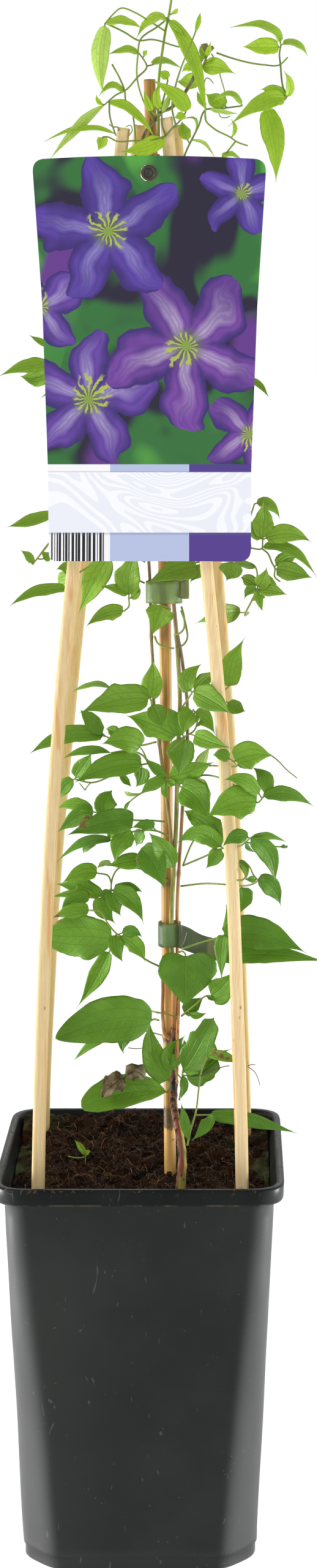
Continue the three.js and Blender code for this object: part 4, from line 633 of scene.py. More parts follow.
# %% Fine roots
FIBRES = 1500
FIBRE_EDGE = 65  # fibres end before the pot's wall
rootlet = Finish("peat_fibre", Roughness=0.8)
rootlet.set("Base Color", rootlet.blend(rootlet.mark("tone"), "24150b", "8a6236"))
rootlet.bumps((rootlet.grain(1500, 2), 0.05))
roots = Pile()
for _ in range(FIBRES):
    x, y = on_bed(4)
    turn, length = rng.uniform(0, 2 * math.pi), rng.choice((2, 3, 4, 5, 7, 9))
    bend = rng.uniform(-0.8, 0.8)
    line = []
    for i in range(5):
        a = turn + bend * i / 4
        x1, y1 = x + length * i / 4 * math.cos(a), y + length * i / 4 * math.sin(a)
        lift = 0.4 + math.sin(math.pi * i / 4) * rng.uniform(0.2, 1.6)
        x1, y1 = np.clip((x1, y1), -FIBRE_EDGE, FIBRE_EDGE).tolist()
        line.append((x1, y1, ground(x1, y1) + lumps(x1, y1) + lift))
    roots.add(*tube(line, rng.choice((0.06, 0.08, 0.1, 0.16)), 4), tone=rng.random() ** 2.2)
heap("soil_fibres", roots, rootlet, "peat")

# %% [markdown]
# ## The split canes
# The wigwam is made of four canes split from a thick bamboo culm. A split cane is nearly square: two
# faces are cut wood with long pale and orange fibres, and its edges are crisp but never quite straight.
# A square section with softened corners is carried along each cane's line, and its faces are roughened
# along the fibres by a little noise. The finish draws the fibres by squeezing noise across the cane and
# stretching it along. Long lists of measured points are kept as plain text from here on, with a slash
# between two points, because that is the easiest form to read and to correct.

# %% Split cane finish
split = Finish("split_cane_pale", Specular_IOR_Level=0.3)
hair = split.grain(1400, 3, 0.6, (1, 1, 0.012))
streak = split.grain(330, 3, 0.55, (1, 1, 0.03), 0.3)
wood = split.blend(split.span(hair, 0.25, 0.75), "dcbe8b", "ecd5a8")
# painted shade: faces that look to the left or right are darker than faces towards the front
side_face_shade = split.axis("X", split.node("NewGeometry").outputs["True Normal"])
side_face_shade = split.span(split.absolute(side_face_shade), 0.45, 0.8)
wood = split.coat(wood, "c2ad76", side_face_shade, 0.8)
wood = split.coat(wood, "d98f45", split.span(streak, 0.55, 0.66), 0.7)
tan_streak = split.span(split.grain(230, 2, 0.5, (1, 1, 0.02)), 0.6, 0.7)
wood = split.coat(wood, "c9a868", tan_streak, 0.5)
fleck = split.span(split.cells(260, (1, 1, 0.45)), 0.16, 0.06)
fleck = split.times(fleck, split.span(split.grain(45, 2), 0.55, 0.63))
wood = split.coat(wood, "7a5433", fleck, 0.7)
foot_dirt = split.span(split.axis("Z"), 0.2, 0.186)
wood = split.blend(split.times(foot_dirt, split.span(split.grain(190, 4), 0.42, 0.62)), wood, "4a3423")
shady_side = split.span(split.axis("X"), 0.0, -0.025, 0, 0.28)
wood = split.blend(shady_side, wood, "ab9058")
# painted shade: the two back canes are darker than the front ones
back_cane_shade = split.span(split.axis("Y"), -0.003, 0.003, 0, 0.5)
wood = split.blend(back_cane_shade, wood, "bda263")
split.set("Base Color", wood)
split.set("Roughness", split.span(hair, 0.3, 0.7, 0.72, 0.52))
split.bumps((hair, 0.16), (streak, 0.12), (fleck, -0.1))

# %% Split canes
STICK = 3.4  # half the width of a split cane
STICKS = {  # x, y and height along each cane
    "stick_front_left": """-53 -50.5 60 / -52.7 -50.3 192 / -50.6 -48 280 / -47 -44 364 /
        -41.4 -40 445 / -34.9 -35 517 / -24 -24.1 617 / -9.8 -10 746.3""",
    "stick_front_right": """52.4 -49.4 60 / 53.2 -50.2 192 / 50.9 -48 280 / 47.4 -44.2 364 /
        41.8 -40.6 440 / 34.4 -35 517 / 24.8 -24 622 / 13 -10 751.8""",
    "stick_back_left": """-52.4 46.4 60 / -56.7 50.5 201 / -53.5 48 275 / -49.1 45 347.6 /
        -43 40 415.4 / -32.5 28.5 512 / -17 18 630 / -1.3 8 749.7""",
    "stick_back_right": """52.8 46 60 / 55.4 48 194 / 53.3 47 270 / 50.4 45 347.6 /
        46.5 39.5 415 / 39.3 28.5 512 / 28 18 630 / 17.2 8 749.7""",
}


def readings(text):
    """The rows of numbers in a text, where a slash parts the rows."""
    return [[float(number) for number in row.split()] for row in text.split("/")]


def split_section(per_side=6):
    """A square with small rounded corners and faces that are very slightly full."""
    outline = []
    for quarter in range(4):
        for i in range(per_side):
            across = 2 * (i + 0.5) / per_side - 1
            full = 1 - 0.07 * across ** 4 - 0.12 * max(0, abs(across) - 0.7)
            spin = quarter * math.pi / 2
            x, y = full, across * 0.93
            outline.append((x * math.cos(spin) - y * math.sin(spin), x * math.sin(spin) + y * math.cos(spin)))
    return np.array(outline)


for order, (name, text) in enumerate(STICKS.items()):
    line = flowing(readings(text), 3.0)
    points, faces = rings(line, STICK, split_section())
    count = len(points) // len(line)
    for i in range(len(points)):
        where = Vector((i % count * 0.9, points[i][2] * 0.02, order * 7.0))
        axis_point = line[i // count]
        points[i] = axis_point + (points[i] - axis_point) * (0.985 + 0.05 * noise.noise(where))
    points[-count:, 2] += [0.9 * noise.noise(Vector((k * 0.8, order, 0))) - 0.6 for k in range(count)]
    piece(name + "_split", points, faces, split, "split_cane", name)

# %% [markdown]
# ## The centre cane
# The middle support is a whole bamboo cane. At each joint it swells to a low ring with a dark scar where
# a sheath once grew, and between the joints the skin is smooth, with fine lines along it. The cane's
# radius along its length is a small formula: a bump and a groove at every joint.

# %% Centre cane
CANE_R = 3.17  # between the joints
SWELL, GROOVE = 0.42, 0.22  # height and depth of the ring and the groove at a joint
CANE_LINE = flowing(readings("""15.2 -11.5 55 / 15 -11 195 / 13.7 -8.8 300 / 12.7 -7 430 /
    12.1 -6 490 / 8.2 -2.7 620 / 3.7 0 773"""), 1.0)
CANE_SIDES = 24
CANE_JOINTS = [110, 174, 262, 345, 426, 508, 590, 668, 742]


def cane_radius(z):
    """Radius of the cane at a height."""
    radius = CANE_R
    for joint in CANE_JOINTS:
        radius += SWELL * math.exp(-((z - joint) / 1.5) ** 2)
        radius -= GROOVE * math.exp(-((z - joint + 2.6) / 0.6) ** 2)
    return radius


rind = Finish("cane_skin", Specular_IOR_Level=0.4)
line_grain = rind.grain(900, 3, 0.6, (1, 1, 0.015))
skin = rind.blend(rind.span(line_grain, 0.3, 0.7), "9f7430", "c59a50")
skin = rind.blend(rind.span(rind.grain(46, 4, 0.6, (1, 1, 0.25)), 0.5, 0.68), skin, "8a612c")
skin = rind.coat(skin, "5a3b1f", rind.mark("joint"), 0.75)
mottle = rind.span(rind.grain(210, 5, 0.65), 0.6, 0.66)
mottle = rind.times(mottle, rind.span(rind.axis("Z"), 0.245, 0.205))
# painted light: the cane's foot just above the soil is made paler to offset the shadow on it
foot_painted_light = rind.span(rind.axis("Z"), 0.216, 0.211, 0, 0.7)
skin = rind.blend(foot_painted_light, skin, "d8ab62")
skin = rind.coat(skin, "4a3520", mottle, 0.5)
crust_edge = rind.grain(260, 3, 0.6)
crust_low = rind.plus(rind.axis("Z"), rind.times(crust_edge, 0.012))
moss = rind.times(rind.span(crust_low, 0.2195, 0.2205), rind.span(rind.axis("Z"), 0.2265, 0.2235))
moss = rind.times(moss, rind.span(rind.grain(420, 4, 0.6), 0.3, 0.45))
skin = rind.coat(skin, "463a22", moss, 0.85)
rind.set("Base Color", skin)
rind.set("Roughness", rind.span(line_grain, 0.3, 0.7, 0.38, 0.55))
rind.bumps((line_grain, 0.1), (mottle, 0.2))
cane_radii = [cane_radius(p[2]) for p in CANE_LINE]
cane_points, cane_faces = tube(CANE_LINE, cane_radii, CANE_SIDES)
scars = [max(math.exp(-((p[2] - joint + 1.6) / 1.7) ** 2) for joint in CANE_JOINTS) for p in CANE_LINE]
piece("centre_cane_skin", cane_points, cane_faces, rind, "cane", "centre_cane",
      {"joint": [np.repeat(scars, CANE_SIDES)]})

# %% [markdown]
# ## The woody stems
# Low down the clematis is a flaking brown rootstock with a red and a yellow-green side. Above it the
# stems are thin as string, orange-brown where they are old and purplish higher up, with a swelling at
# every node. Each stem is a tube through readings of the elevation, `(x, height, depth, radius)`, and a
# number on its points says how its bark is coloured: 0 is rootstock, 1 an old stem, 2 a young one.

# %% Readings of the stems
ROOTSTOCK = """20.4 160 -48 2.6 / 20.3 177 -48 2.6 / 21.3 195 -45 2.3 / 20.2 205 -41 2.1 / 18 215 -35 2 /
    16.6 224 -27 1.9 / 16.6 230 -21 2 / 17 240 -17.5 1.9 / 16.6 250 -16 2.2 / 16.6 258 -15 2.6 /
    16.8 264 -14.8 1.7"""
MAIN_STEM = """16.8 262 -14.8 1.4 / 17 280 -14.6 1.3 / 16 300 -13.9 1.3 / 15.4 312 -13.4 1.3 /
    15.4 322 -13.4 1.3 / 16.6 348 -13.6 1.25 / 18 375 -13.4 1.2 / 18.5 395 -13 1.2 /
    19.4 420 -12.8 1.2 / 20 440 -12.4 1.15 / 19.2 458 -12 1.15 / 18.2 475 -11.6 1.15 /
    16.6 492 -10.8 1.1 / 15.5 505 -10.8 1.1 / 12 545 -11 1.1 / 9 590 -10.5 1.1 / 6.4 640 -9.6 1.1 /
    5.8 690 -9 1 / 7 720 -9 1 / 8.3 733 -9 0.9"""
SECOND_STEM = """17 232 -20 1 / 18.3 240 -19 0.95 / 18.4 252 -18.4 0.95 / 19 268 -15.5 0.95 /
    19.2 284 -13 0.95 / 18.7 300 -11 0.95 / 18.5 315 -10.6 0.95 / 18.6 330 -11 0.95 /
    19.6 352 -11.5 0.95 / 20.8 372 -11.5 0.95 / 22 392 -11.5 0.95 / 24.2 425 -11.8 0.9 /
    23.8 440 -12 0.9 / 22 455 -12 0.9 / 20.3 467 -11.9 0.9 / 18.4 475 -11.6 0.9"""
THIRD_STEM = """16.8 350 -13.6 0.9 / 15.6 362 -14 0.9 / 14.2 376 -13.8 0.9 / 12.4 390 -13.4 0.9 /
    10.4 405 -13 0.9 / 8.6 419 -12.4 0.95 / 6.4 433 -11.6 0.9 / 5.6 447 -10.6 0.85 /
    5.4 460 -9.6 0.85 / 4.7 472 -8.8 0.85 / 4.2 487 -8.4 0.85 / 3.8 505 -8.4 0.85 /
    1.2 540 -9.4 0.85 / -2 590 -10.4 0.85 / -4 640 -11 0.85 / -5 690 -12 0.85 / -4.3 718 -13 0.8 /
    -3.6 733 -13.6 0.75"""
SHORT_STEM = """16 257 -15.2 1.1 / 12.4 260 -14.6 1 / 10.9 268 -14 0.95 / 10.8 285 -13.4 0.95 /
    10.4 297 -12.8 1"""
LEANING_STEM = """-4.6 700 -12.4 0.9 / -3 718 -10.6 0.9 / -1.4 734 -8.6 0.95 / 0.8 743 -7 1 /
    4 748.4 -6.2 1 / 7.2 752 -6 1 / 10 755.6 -5.6 1 / 14.5 757.4 -4 1 / 19.4 761.6 -3 1 /
    24 768 -2.5 1 / 28 775.5 -2 1 / 31 783 -1.6 1.1 / 34.4 787.6 -1.4 1.3 / 38 790.6 -1.2 1"""
BUD_STUB = "34.4 787.6 -1.4 1.2 / 33.4 790.4 -1.6 2.2 / 33 792.4 -1.8 1.6"

# %% Stems
SWELLINGS = [297, 349, 419, 475, 560, 640, 700, 752, 787]  # heights of the nodes on the stems


def thick_line(text, step):
    """A smooth line of places, each with the radius there."""
    return flowing([(*at(x, z, y), r) for x, z, y, r in readings(text)], step)


def bark_tube(text, kind, sides):
    """A stem with a slightly rough, fluted skin."""
    knots = thick_line(text, 1.2)
    line, radii = knots[:, :3], knots[:, 3].copy()
    for i, p in enumerate(line):
        swell = max(math.exp(-((p[2] - z) / 1.6) ** 2) for z in SWELLINGS)
        radii[i] *= 1 + (0.28 * swell if kind else 0.1 * noise.noise(Vector((p[2] * 0.4, 0, 0))))
    points, faces = tube(line, radii, sides)
    depth = 0.16 if kind == 0 else 0.06
    right = []
    for i, p in enumerate(points):
        middle = line[i // sides]
        right.append(unit(p - middle)[0])
        rough_here = noise.noise(Vector((i % sides * 1.3, middle[2] * 0.35, kind * 5.0)))
        points[i] = middle + (p - middle) * (1 + depth * rough_here)
    return points, faces, right


stems = Pile()
STEMS = (  # readings, kind of bark, how green
    (ROOTSTOCK, 0, 0), (MAIN_STEM, 1, 1), (SECOND_STEM, 1, 0), (THIRD_STEM, 1, 0.4),
    (SHORT_STEM, 1, 0), (LEANING_STEM, 2, 0), (BUD_STUB, 2, 0),
)
for text, kind, green in STEMS:
    points, faces, right = bark_tube(text, kind, 14 if kind == 0 else 9)
    stems.add(points, faces, kind=float(kind), right=right, green=float(green))

# %% Flakes of bark
FLAKES = 46  # on the rootstock
SLAB = [(0, 1, 2, 3), (7, 6, 5, 4), (0, 4, 5, 1), (1, 5, 6, 2), (2, 6, 7, 3), (3, 7, 4, 0)]  # its faces
trunk = thick_line(ROOTSTOCK.partition("/")[2], 1.0)
for _ in range(FLAKES):
    p = trunk[int(rng.random() * (len(trunk) - 1))]
    turn = rng.uniform(0, 2 * math.pi)
    out = np.array([math.cos(turn), math.sin(turn), 0])
    across = np.array([-out[1], out[0], 0]) * rng.uniform(0.25, 0.7)
    root, tip = p[:3] + out * (p[3] * 0.97), p[:3] + out * (p[3] + rng.uniform(0.2, 0.7))
    tip = tip + np.array([0, 0, rng.choice((-1, 1)) * rng.uniform(1.5, 4)])
    flake = [root - across, root + across, tip + across * 0.5, tip - across * 0.5]
    back = [q - out * 0.12 for q in flake]
    stems.add(flake + back, SLAB, kind=0.0, right=-1.0, green=0.0)

# %% Bark finish
bark = Finish("stem_bark", Specular_IOR_Level=0.3)
kind = bark.mark("kind")
strand = bark.grain(700, 4, 0.65, (1, 1, 0.06), 0.5)
patch = bark.grain(160, 4, 0.6, (1, 1, 0.35))
old = bark.blend(bark.span(strand, 0.35, 0.65), "2c1a10", "7d5230")
old = bark.blend(bark.span(patch, 0.5, 0.62), old, "1d120c")
red_side = bark.blend(bark.span(patch, 0.42, 0.6), "84322a", "6e4a2c")
green_side = bark.blend(bark.span(patch, 0.4, 0.62), "9a9440", "6a5a2c")
right = bark.plus(bark.mark("right"), bark.times(bark.minus(patch, 0.5), 0.8))
foot = bark.blend(bark.span(bark.axis("Z"), 0.202, 0.197), red_side, green_side)
foot = bark.blend(bark.span(right, 0.2, 0.45), foot, green_side)
foot = bark.blend(bark.span(right, -0.35, -0.55), foot, old)
ring = bark.span(bark.absolute(bark.minus(bark.axis("Z"), 0.2255)), 0.0011, 0.0006)
old = bark.blend(bark.larger(bark.span(bark.axis("Z"), 0.2235, 0.2275), ring), foot, old)
tan = bark.blend(bark.span(strand, 0.35, 0.65), "8a5a30", "c08a50")
purple = bark.blend(bark.span(strand, 0.35, 0.65), "644c38", "8f7a58")
thin = bark.blend(bark.span(bark.axis("Z"), 0.3, 0.44), tan, purple)
olive = bark.blend(bark.span(strand, 0.35, 0.65), "66662f", "96944c")
olive_zone = bark.times(bark.span(bark.axis("Z"), 0.28, 0.31), bark.span(bark.axis("Z"), 0.485, 0.46))
thin = bark.blend(bark.times(olive_zone, bark.mark("green")), thin, olive)
young = bark.blend(bark.span(strand, 0.35, 0.65), "575131", "817c48")
colour = bark.blend(bark.span(kind, 0.2, 0.8), old, thin)
colour = bark.blend(bark.span(kind, 1.2, 1.8), colour, young)
bark.set("Base Color", colour)
bark.set("Roughness", bark.span(strand, 0.3, 0.7, 0.78, 0.5))
bark.bumps((strand, 0.22), (patch, 0.2))
heap("woody_stems_bark", stems, bark, "bark", "woody_stems")

# %% [markdown]
# ## The ties
# Soft green tying tape holds the stems to the cane. It is a stretchy plastic ribbon, so it is milky,
# a little wrinkled, and its loose end stands off where it was stapled. An oval ring with a wandering edge
# is built from the same oval as the solid, and the loose end is a strip that is bent along its length.

# %% Tape finish
tape = Finish("tying_tape", Specular_IOR_Level=0.3)
crease = tape.grain(160, 3, 0.5, (1, 1, 0.15))
green = tape.blend(tape.span(crease, 0.3, 0.7), "4c6133", "7d9659")
shaded = tape.blend(tape.span(crease, 0.35, 0.7), "3c5430", "647d4b")
# painted shade: the loose end of the lower tie is darkened
loose_end_shade = tape.times(tape.span(tape.axis("X"), 0.019, 0.0205), tape.span(crease, 0.8, 0.4, 0.4, 0.85))
shaded = tape.blend(loose_end_shade, shaded, "24322a")
# painted highlight: pale vertical streaks along the lower tie's band
highlight_streaks = tape.span(tape.grain(300, 2, 0.5, (1, 1, 0.06)), 0.58, 0.68)
shaded = tape.coat(shaded, "9db08a", highlight_streaks, 0.5)
green = tape.blend(tape.span(tape.axis("Z"), 0.36, 0.46), shaded, green)
tape.set("Base Color", green)
tape.set("Roughness", tape.span(crease, 0.3, 0.7, 0.42, 0.55))
tape.set("Subsurface Weight", 0.08)
tape.bumps((crease, 0.35), (tape.cells(420), 0.12))

# %% Tape bands
TAPE_THICK = 0.55  # thicker than one layer, because the tape goes round more than once


def band(cx, cy, rx, ry, low, high, power, seed):
    """A ring of tape round an oval, with creases and edges that wander."""
    around, up = 72, 7
    sheets = []
    for inset in (0.0, TAPE_THICK):
        for row in range(up):
            share = row / (up - 1)
            for i in range(around):
                a = 2 * math.pi * i / around
                c, s = math.cos(a), math.sin(a)
                crimp = 0.12 * noise.noise(Vector((c * 3, s * 3, share * 1.5 + seed))) - 0.12
                edge = 0.25 * noise.noise(Vector((c * 2, s * 2, seed + 9))) * (1 if row else -1)
                x = math.copysign(abs(c) ** power, c) * (rx - inset + crimp)
                y = math.copysign(abs(s) ** power, s) * (ry - inset + crimp)
                rise = low + 0.3 + (high - low - 0.6) * share + (edge if row in (0, up - 1) else 0)
                sheets.append((cx + x, cy + y, rise))
    faces = []
    n = up * around
    for a, b, c, d in hoops(up, around, False):
        faces += [(a, b, c, d), (n + b, n + a, n + d, n + c)]
    for a, turned in ((0, 1), (n - around, -1)):
        for i in range(around):
            j = (i + 1) % around
            faces.append((a + j, a + i, n + a + i, n + a + j)[::turned])
    return sheets, faces


# %% Loose ends
FLAP_HALF = 0.22  # half the thickness of a loose end
FLAP_BOW = 0.7  # how far a loose end is bowed across its width


def flap(rows):
    """The loose end of a tape: readings of x, y, low z and high z, with a bow across its width."""
    path = flowing(readings(rows), 0.8)
    up = 7
    front, back = [], []
    for x, y, low, high in path:
        for k in range(up):
            share = k / (up - 1)
            dip = FLAP_BOW * (1 - (2 * share - 1) ** 2)
            front.append((x, y - FLAP_HALF + dip, low + (high - low) * share))
            back.append((x, y + FLAP_HALF + dip, low + (high - low) * share))
    n = len(front)
    faces = []
    for a, b, c, d in sheet_quads(len(path), up):
        faces += [(a, d, c, b), (n + b, n + c, n + d, n + a)]
    edge = rim(len(path), up)
    edge = edge[:1] + edge[:0:-1]
    return front + back, faces + [(b, a, n + a, n + b) for a, b in zip(edge, edge[1:] + edge[:1])]


# %% Wrap the ties
TIES = {  # the oval's centre, radii, low and high edge and squareness, and the loose end
    "tie_lower": ((14.6, -9.5, 6.2, 6.5, 310, 323, 1), """19.2 -13.6 310 322.6 / 24 -15.4 308.6 321.4 /
        32 -17.4 306.4 317.6 / 40.4 -18.4 304 315.6"""),
    "tie_upper": ((11.7, -7.6, 9.9, 6.9, 492.6, 505, 1), """20.2 -10.8 495.8 504.6 /
        22 -12.4 495.4 505.4 / 25.2 -12.9 495.6 506.6"""),
    "tie_top": ((3.6, -1.6, 24.4, 20.2, 704, 716, 0.42), None),
}
for seed, (name, (oval, loose)) in enumerate(TIES.items()):
    wrap = Pile()
    wrap.add(*band(*oval, seed * 3.0))
    if loose:
        wrap.add(*flap(loose))
    heap(name + "_tape", wrap, tape, "tape", name)

# %% Staple
steel = Finish("staple_wire", Metallic=1.0, Roughness=0.35)
steel.set("Base Color", steel.blend(steel.grain(800), "8f938c", "c9ccc4"))
steel.bumps((steel.grain(2500, 2), 0.01))
staple_line = places(readings("23.7 315.2 -15.6 / 23.2 313 -15.9 / 22.3 310 -15.6 / 21.8 308.4 -15.2"))
piece("tie_staple", *tube(flowing(staple_line, 0.5), 0.22, 6), steel, "tape")

# %% [markdown]
# ## The outline of a leaf
# A clematis leaflet is widest near its base and has a long drawn out tip, but a few are heart shaped,
# lobed, wavy, blunt or nearly round. Most kinds are one formula with other numbers. The uneven kinds are
# short tables of half widths, whose corners are softened by averaging, because no simple formula has a
# lobe. A few leaves have browned in places, and those places are kept as a list of round spots.

# %% Outlines
KNOTS = {  # position, half width and forward sweep of the edge, in parts of the blade's size
    "heart": """0 0.1 0 / 0.04 0.62 -0.14 / 0.1 0.86 -0.1 / 0.2 1 -0.04 / 0.4 1 0 / 0.64 0.72 0 /
        0.84 0.34 0 / 1 0 0""",
    "lobed": """0 0.05 0 / 0.06 0.42 0 / 0.14 0.62 0.02 / 0.26 0.8 0.08 / 0.36 1 0.14 /
        0.43 0.72 0.04 / 0.5 0.5 0 / 0.62 0.52 0 / 0.74 0.42 0 / 0.88 0.2 0 / 1 0 0""",
    "wavy": """0 0.08 0 / 0.1 0.5 0 / 0.22 0.86 0 / 0.32 1 0.02 / 0.4 0.84 0 / 0.52 0.92 0.03 /
        0.62 1 0.05 / 0.7 0.7 0 / 0.8 0.66 0 / 0.9 0.6 0.02 / 0.97 0.36 0 / 1 0 0""",
}
CURVES = {  # place of the widest part, roundness of the base, keenness of the tip, tail
    "ovate": (0.7, 0.46, 0.98, 0.3), "lance": (0.86, 0.8, 0.45, 0.2),
    "blunt": (0.82, 0.5, 0.12, 0.0), "round": (1.15, 0.62, -0.24, 0.0),
}


def outline(kind, t):
    """Half width and sweep of a blade along its length."""
    if kind in KNOTS:
        table = np.array(readings(KNOTS[kind]))
        fine = np.linspace(0, 1, 101)
        rows = [np.interp(fine, table[:, 0], table[:, k]) for k in (1, 2)]
        soft = [np.convolve(np.pad(row, 3, mode="edge"), np.ones(7) / 7, "valid") for row in rows]
        soft[0] *= np.minimum(1, (1 - fine) * 12)
        return np.interp(t, fine, soft[0]), np.interp(t, fine, soft[1])
    shift, round_base, keen_tip, tail = CURVES[kind]
    wave = np.sin(math.pi * np.clip(t, 0, 1) ** shift).clip(0, 1)
    return wave ** (round_base + keen_tip * t + tail * t ** 5), np.zeros_like(t)


# %% Spoilt places
SPOTS = readings("""-32 373 2.6 0.75 / -30 376.5 2 0.7 / -3 354 1.3 0.9 / -47 323 3.5 0.9 / 69 347 1.3 0.8 /
    64 344 1 0.7 / 38 251 1.8 0.8 / 42 249 1.8 0.8 / 46 247.5 1.5 0.8""")  # x, z, radius, strength


def seen(points):
    """Elevation readings of places."""
    scale = 1 - points[:, 1] / EYE[1]
    return EYE[0] + (points[:, 0] - EYE[0]) / scale, EYE[2] + (points[:, 2] - EYE[2]) / scale


def spoiling(points):
    """How spoilt a leaf is at each of its points."""
    x, z = seen(points)
    return np.max([s * np.exp(-((x - a) ** 2 + (z - b) ** 2) / (r * r)) for a, b, r, s in SPOTS], axis=0)


# %% [markdown]
# ## A leaf blade
# A leaflet hangs on a short thin stalk and is folded a little along its midrib, which is a bent line
# through three places: base, middle and tip. Rows of points stand across that line, each as wide as the
# outline says there, and turned by the leaf's roll. The two halves rise from the midrib and level out
# towards the margin, and the margin waves. The sheet gets a real thickness, so that it has an underside
# and an edge. Numbers for the materials go onto every point: how far it is across and along the blade,
# which side it is on, how light its green is and how spoilt it is.

# %% Bent lines
def bezier(start, control, end, t):
    """A bent line and its direction."""
    t = np.asarray(t)[:, None]
    line = (1 - t) ** 2 * start + 2 * t * (1 - t) * control + t * t * end
    return line, unit(2 * (1 - t) * (control - start) + 2 * t * (end - control))


# %% Margins
LOBE, DENT = 0.13, 0.07  # the lobe of some blades and the dent after it, in parts of the half width
NOTCH, TOOTH = 0.13, 0.06  # the slow and the quick unevenness of every margin


def half_widths(u, s, share, width, lean, seed, dice):
    """Half widths of a blade: fuller on one side, uneven along the margin and at times with a lobe."""
    lobe_side, lobe_place = dice.choice((-1, 1)), dice.uniform(0.3, 0.5)
    lobe = (LOBE if width > 8 and dice.random() < 0.3 else 0) * np.exp(-((u - lobe_place) / 0.08) ** 2)
    dent = (DENT if lobe.any() else 0) * np.exp(-((u - lobe_place - 0.17) / 0.07) ** 2)
    notch = np.array([[noise.noise(Vector((k * 2.0 + seed, t * 4.0, 1.7))) for t in u] for k in (-1, 1)])
    tooth = np.array([[noise.noise(Vector((k * 3.0 - seed, t * 11.0, 6.2))) for t in u] for k in (-1, 1)])
    notch = NOTCH * notch + TOOTH * tooth
    half = np.maximum(share[:, None] * width / 2, 0.09 + 0.3 * (1 - u[:, None]) ** 6)
    half = half * (1 + np.where(s < 0, notch[0][:, None], notch[1][:, None]) + lean * np.sign(s))
    return half * (1 + (s * lobe_side > 0) * (lobe - dent)[:, None])


# %% Relief
FOLD = 0.22  # rise of the two halves from the midrib
WIDE = 9  # a blade wider than this gets more points and a quilted surface
MARGIN_WAVE = 0.05  # how far a margin waves up and down, in parts of the width
QUILT, QUILT_STEP = 0.14, 6.0  # height and distance of the swellings between side veins


def relief(u, s, half, share, width, length, crumple, seed, dice):
    """How far a blade rises from its midrib: its fold, wavy margin, swellings and creases."""
    fold = np.sqrt(s * s + 0.012) - math.sqrt(0.012)
    rise = FOLD * half * (1.35 * fold - 0.35 * s * s)
    wave_count, phase = dice.uniform(1.2, 2.4), dice.uniform(0, 6.3)
    margin = np.sin(2 * math.pi * wave_count * u[:, None] + phase + 1.4 * (s > 0))
    rise = rise + (MARGIN_WAVE + crumple) * width * margin * s * s * share[:, None]
    if width > WIDE:
        quilt = np.cos(2 * math.pi * (u[:, None] * length - 0.9 * np.abs(s) * half) / QUILT_STEP)
        rise = rise + QUILT * quilt * np.abs(s) * (1.2 - np.abs(s)) * share[:, None]
    if crumple:
        rise = rise + crumple * width * 0.6 * np.array(
            [[noise.noise(Vector((a * 2.2, b * 3.5, seed * 1.0))) for a in s] for b in u])
    return rise


# %% Thickness
def two_sided(sheet, up, thick, turned):
    """Points and faces of a sheet with a top, an underside and an edge."""
    rows, columns = sheet.shape[:2]
    count = rows * columns
    faces = []
    for quad in sheet_quads(rows, columns):
        faces += [quad, tuple(count + k for k in quad[::-1])]
    edge = rim(rows, columns)
    faces += [(b, a, a + count, b + count) for a, b in zip(edge, edge[1:] + edge[:1])]
    if turned:
        faces = [face[::-1] for face in faces]
    return np.concatenate([(sheet + up * thick).reshape(-1, 3), (sheet - up * thick).reshape(-1, 3)]), faces


# %% One leaf
BLADE = 0.34  # thickness of a blade
PETIOLE = 0.46  # radius of a leaflet's own stalk
ROW_STEP = 1.3  # distance between the rows of points of a blade
PLAIN_STALK = {"across": 0.0, "along": 0.0, "half": 0.4, "under": 0.0, "stalk": 1.0, "spoil": 0.0}


def leaf(pile, start, base, middle, tip, width, roll, kind, seed, crumple=0.0):
    """Add one leaf with its own stalk to a pile."""
    dice = random.Random(seed)
    control = 2 * middle - 0.5 * (start + tip)
    reach = np.linalg.norm(start - base)
    length = np.linalg.norm(base - tip)
    foot = reach / (reach + length)
    across_way = np.cross([0.0, 1, 0], unit(tip - start))
    sign = math.copysign(1, across_way[2] if abs(across_way[2]) > 0.08 else (across_way[0] or 1))
    tone = dice.random()
    if foot > 0.02:
        stalk_line, _ = bezier(start, control, tip, np.linspace(0, foot * 1.03, max(3, int(reach / 1.2))))
        thin_out = np.linspace(PETIOLE, PETIOLE * 0.8, len(stalk_line))
        pile.add(*tube(stalk_line, thin_out, 6), size=reach, tone=tone, **PLAIN_STALK)
    rows = int(np.clip(length / ROW_STEP, 9, 34))
    columns = 13 if width > WIDE else 9
    u = np.linspace(0, 1, rows)
    u = 0.55 * u + 0.45 * (0.5 - 0.5 * np.cos(math.pi * u))
    s = np.linspace(-1, 1, columns)
    line, along = bezier(start, control, tip, foot + (1 - foot) * u)
    d = unit(np.array([0.0, 1, 0]) - along * along[:, 1:2])
    v = unit(np.cross(d, along)) * sign
    turn = np.radians(roll + dice.uniform(-9, 9) * (u - 0.4))[:, None]
    w = v * np.cos(turn) + d * np.sin(turn)
    n = -d * np.cos(turn) + v * np.sin(turn)
    share, sweep = outline(kind, u)
    share = share ** dice.uniform(0.78, 1.12)
    lean, hook = dice.uniform(-0.13, 0.13), dice.uniform(-0.05, 0.05)
    half = half_widths(u, s, share, width, lean, seed, dice)
    rise = relief(u, s, half, share, width, length, crumple, seed, dice)
    hooked = line + w * (hook * length * u ** 3)[:, None]
    sheet = hooked[:, None] + w[:, None] * (s * half)[:, :, None] + n[:, None] * rise[:, :, None]
    sheet = sheet + along[:, None] * (sweep[:, None] * s * s * length)[:, :, None]
    thick = BLADE / 2 * np.minimum(1, 0.35 + 3 * np.minimum(u, 1 - u))[:, None, None]
    turned = np.cross(w[rows // 2], along[rows // 2]).dot(n[rows // 2]) < 0
    both, faces = two_sided(sheet, n[:, None], thick, turned)
    pile.add(both, faces, across=np.tile(s, 2 * rows), along=np.tile(np.repeat(u, columns), 2),
             half=np.tile(half.reshape(-1), 2), size=length, tone=tone, stalk=0.0,
             under=np.repeat([0.0, 1.0], rows * columns), spoil=spoiling(both))


# %% Leaf stalks
def stalk(pile, rows, radius, tone):
    """Add a leaf stalk and give back its line."""
    line = flowing(places(rows), 1.0)
    taper = np.linspace(1, 0.8, len(line)) * radius
    pile.add(*tube(line, taper, 7), size=10.0, tone=tone, **PLAIN_STALK)
    return line


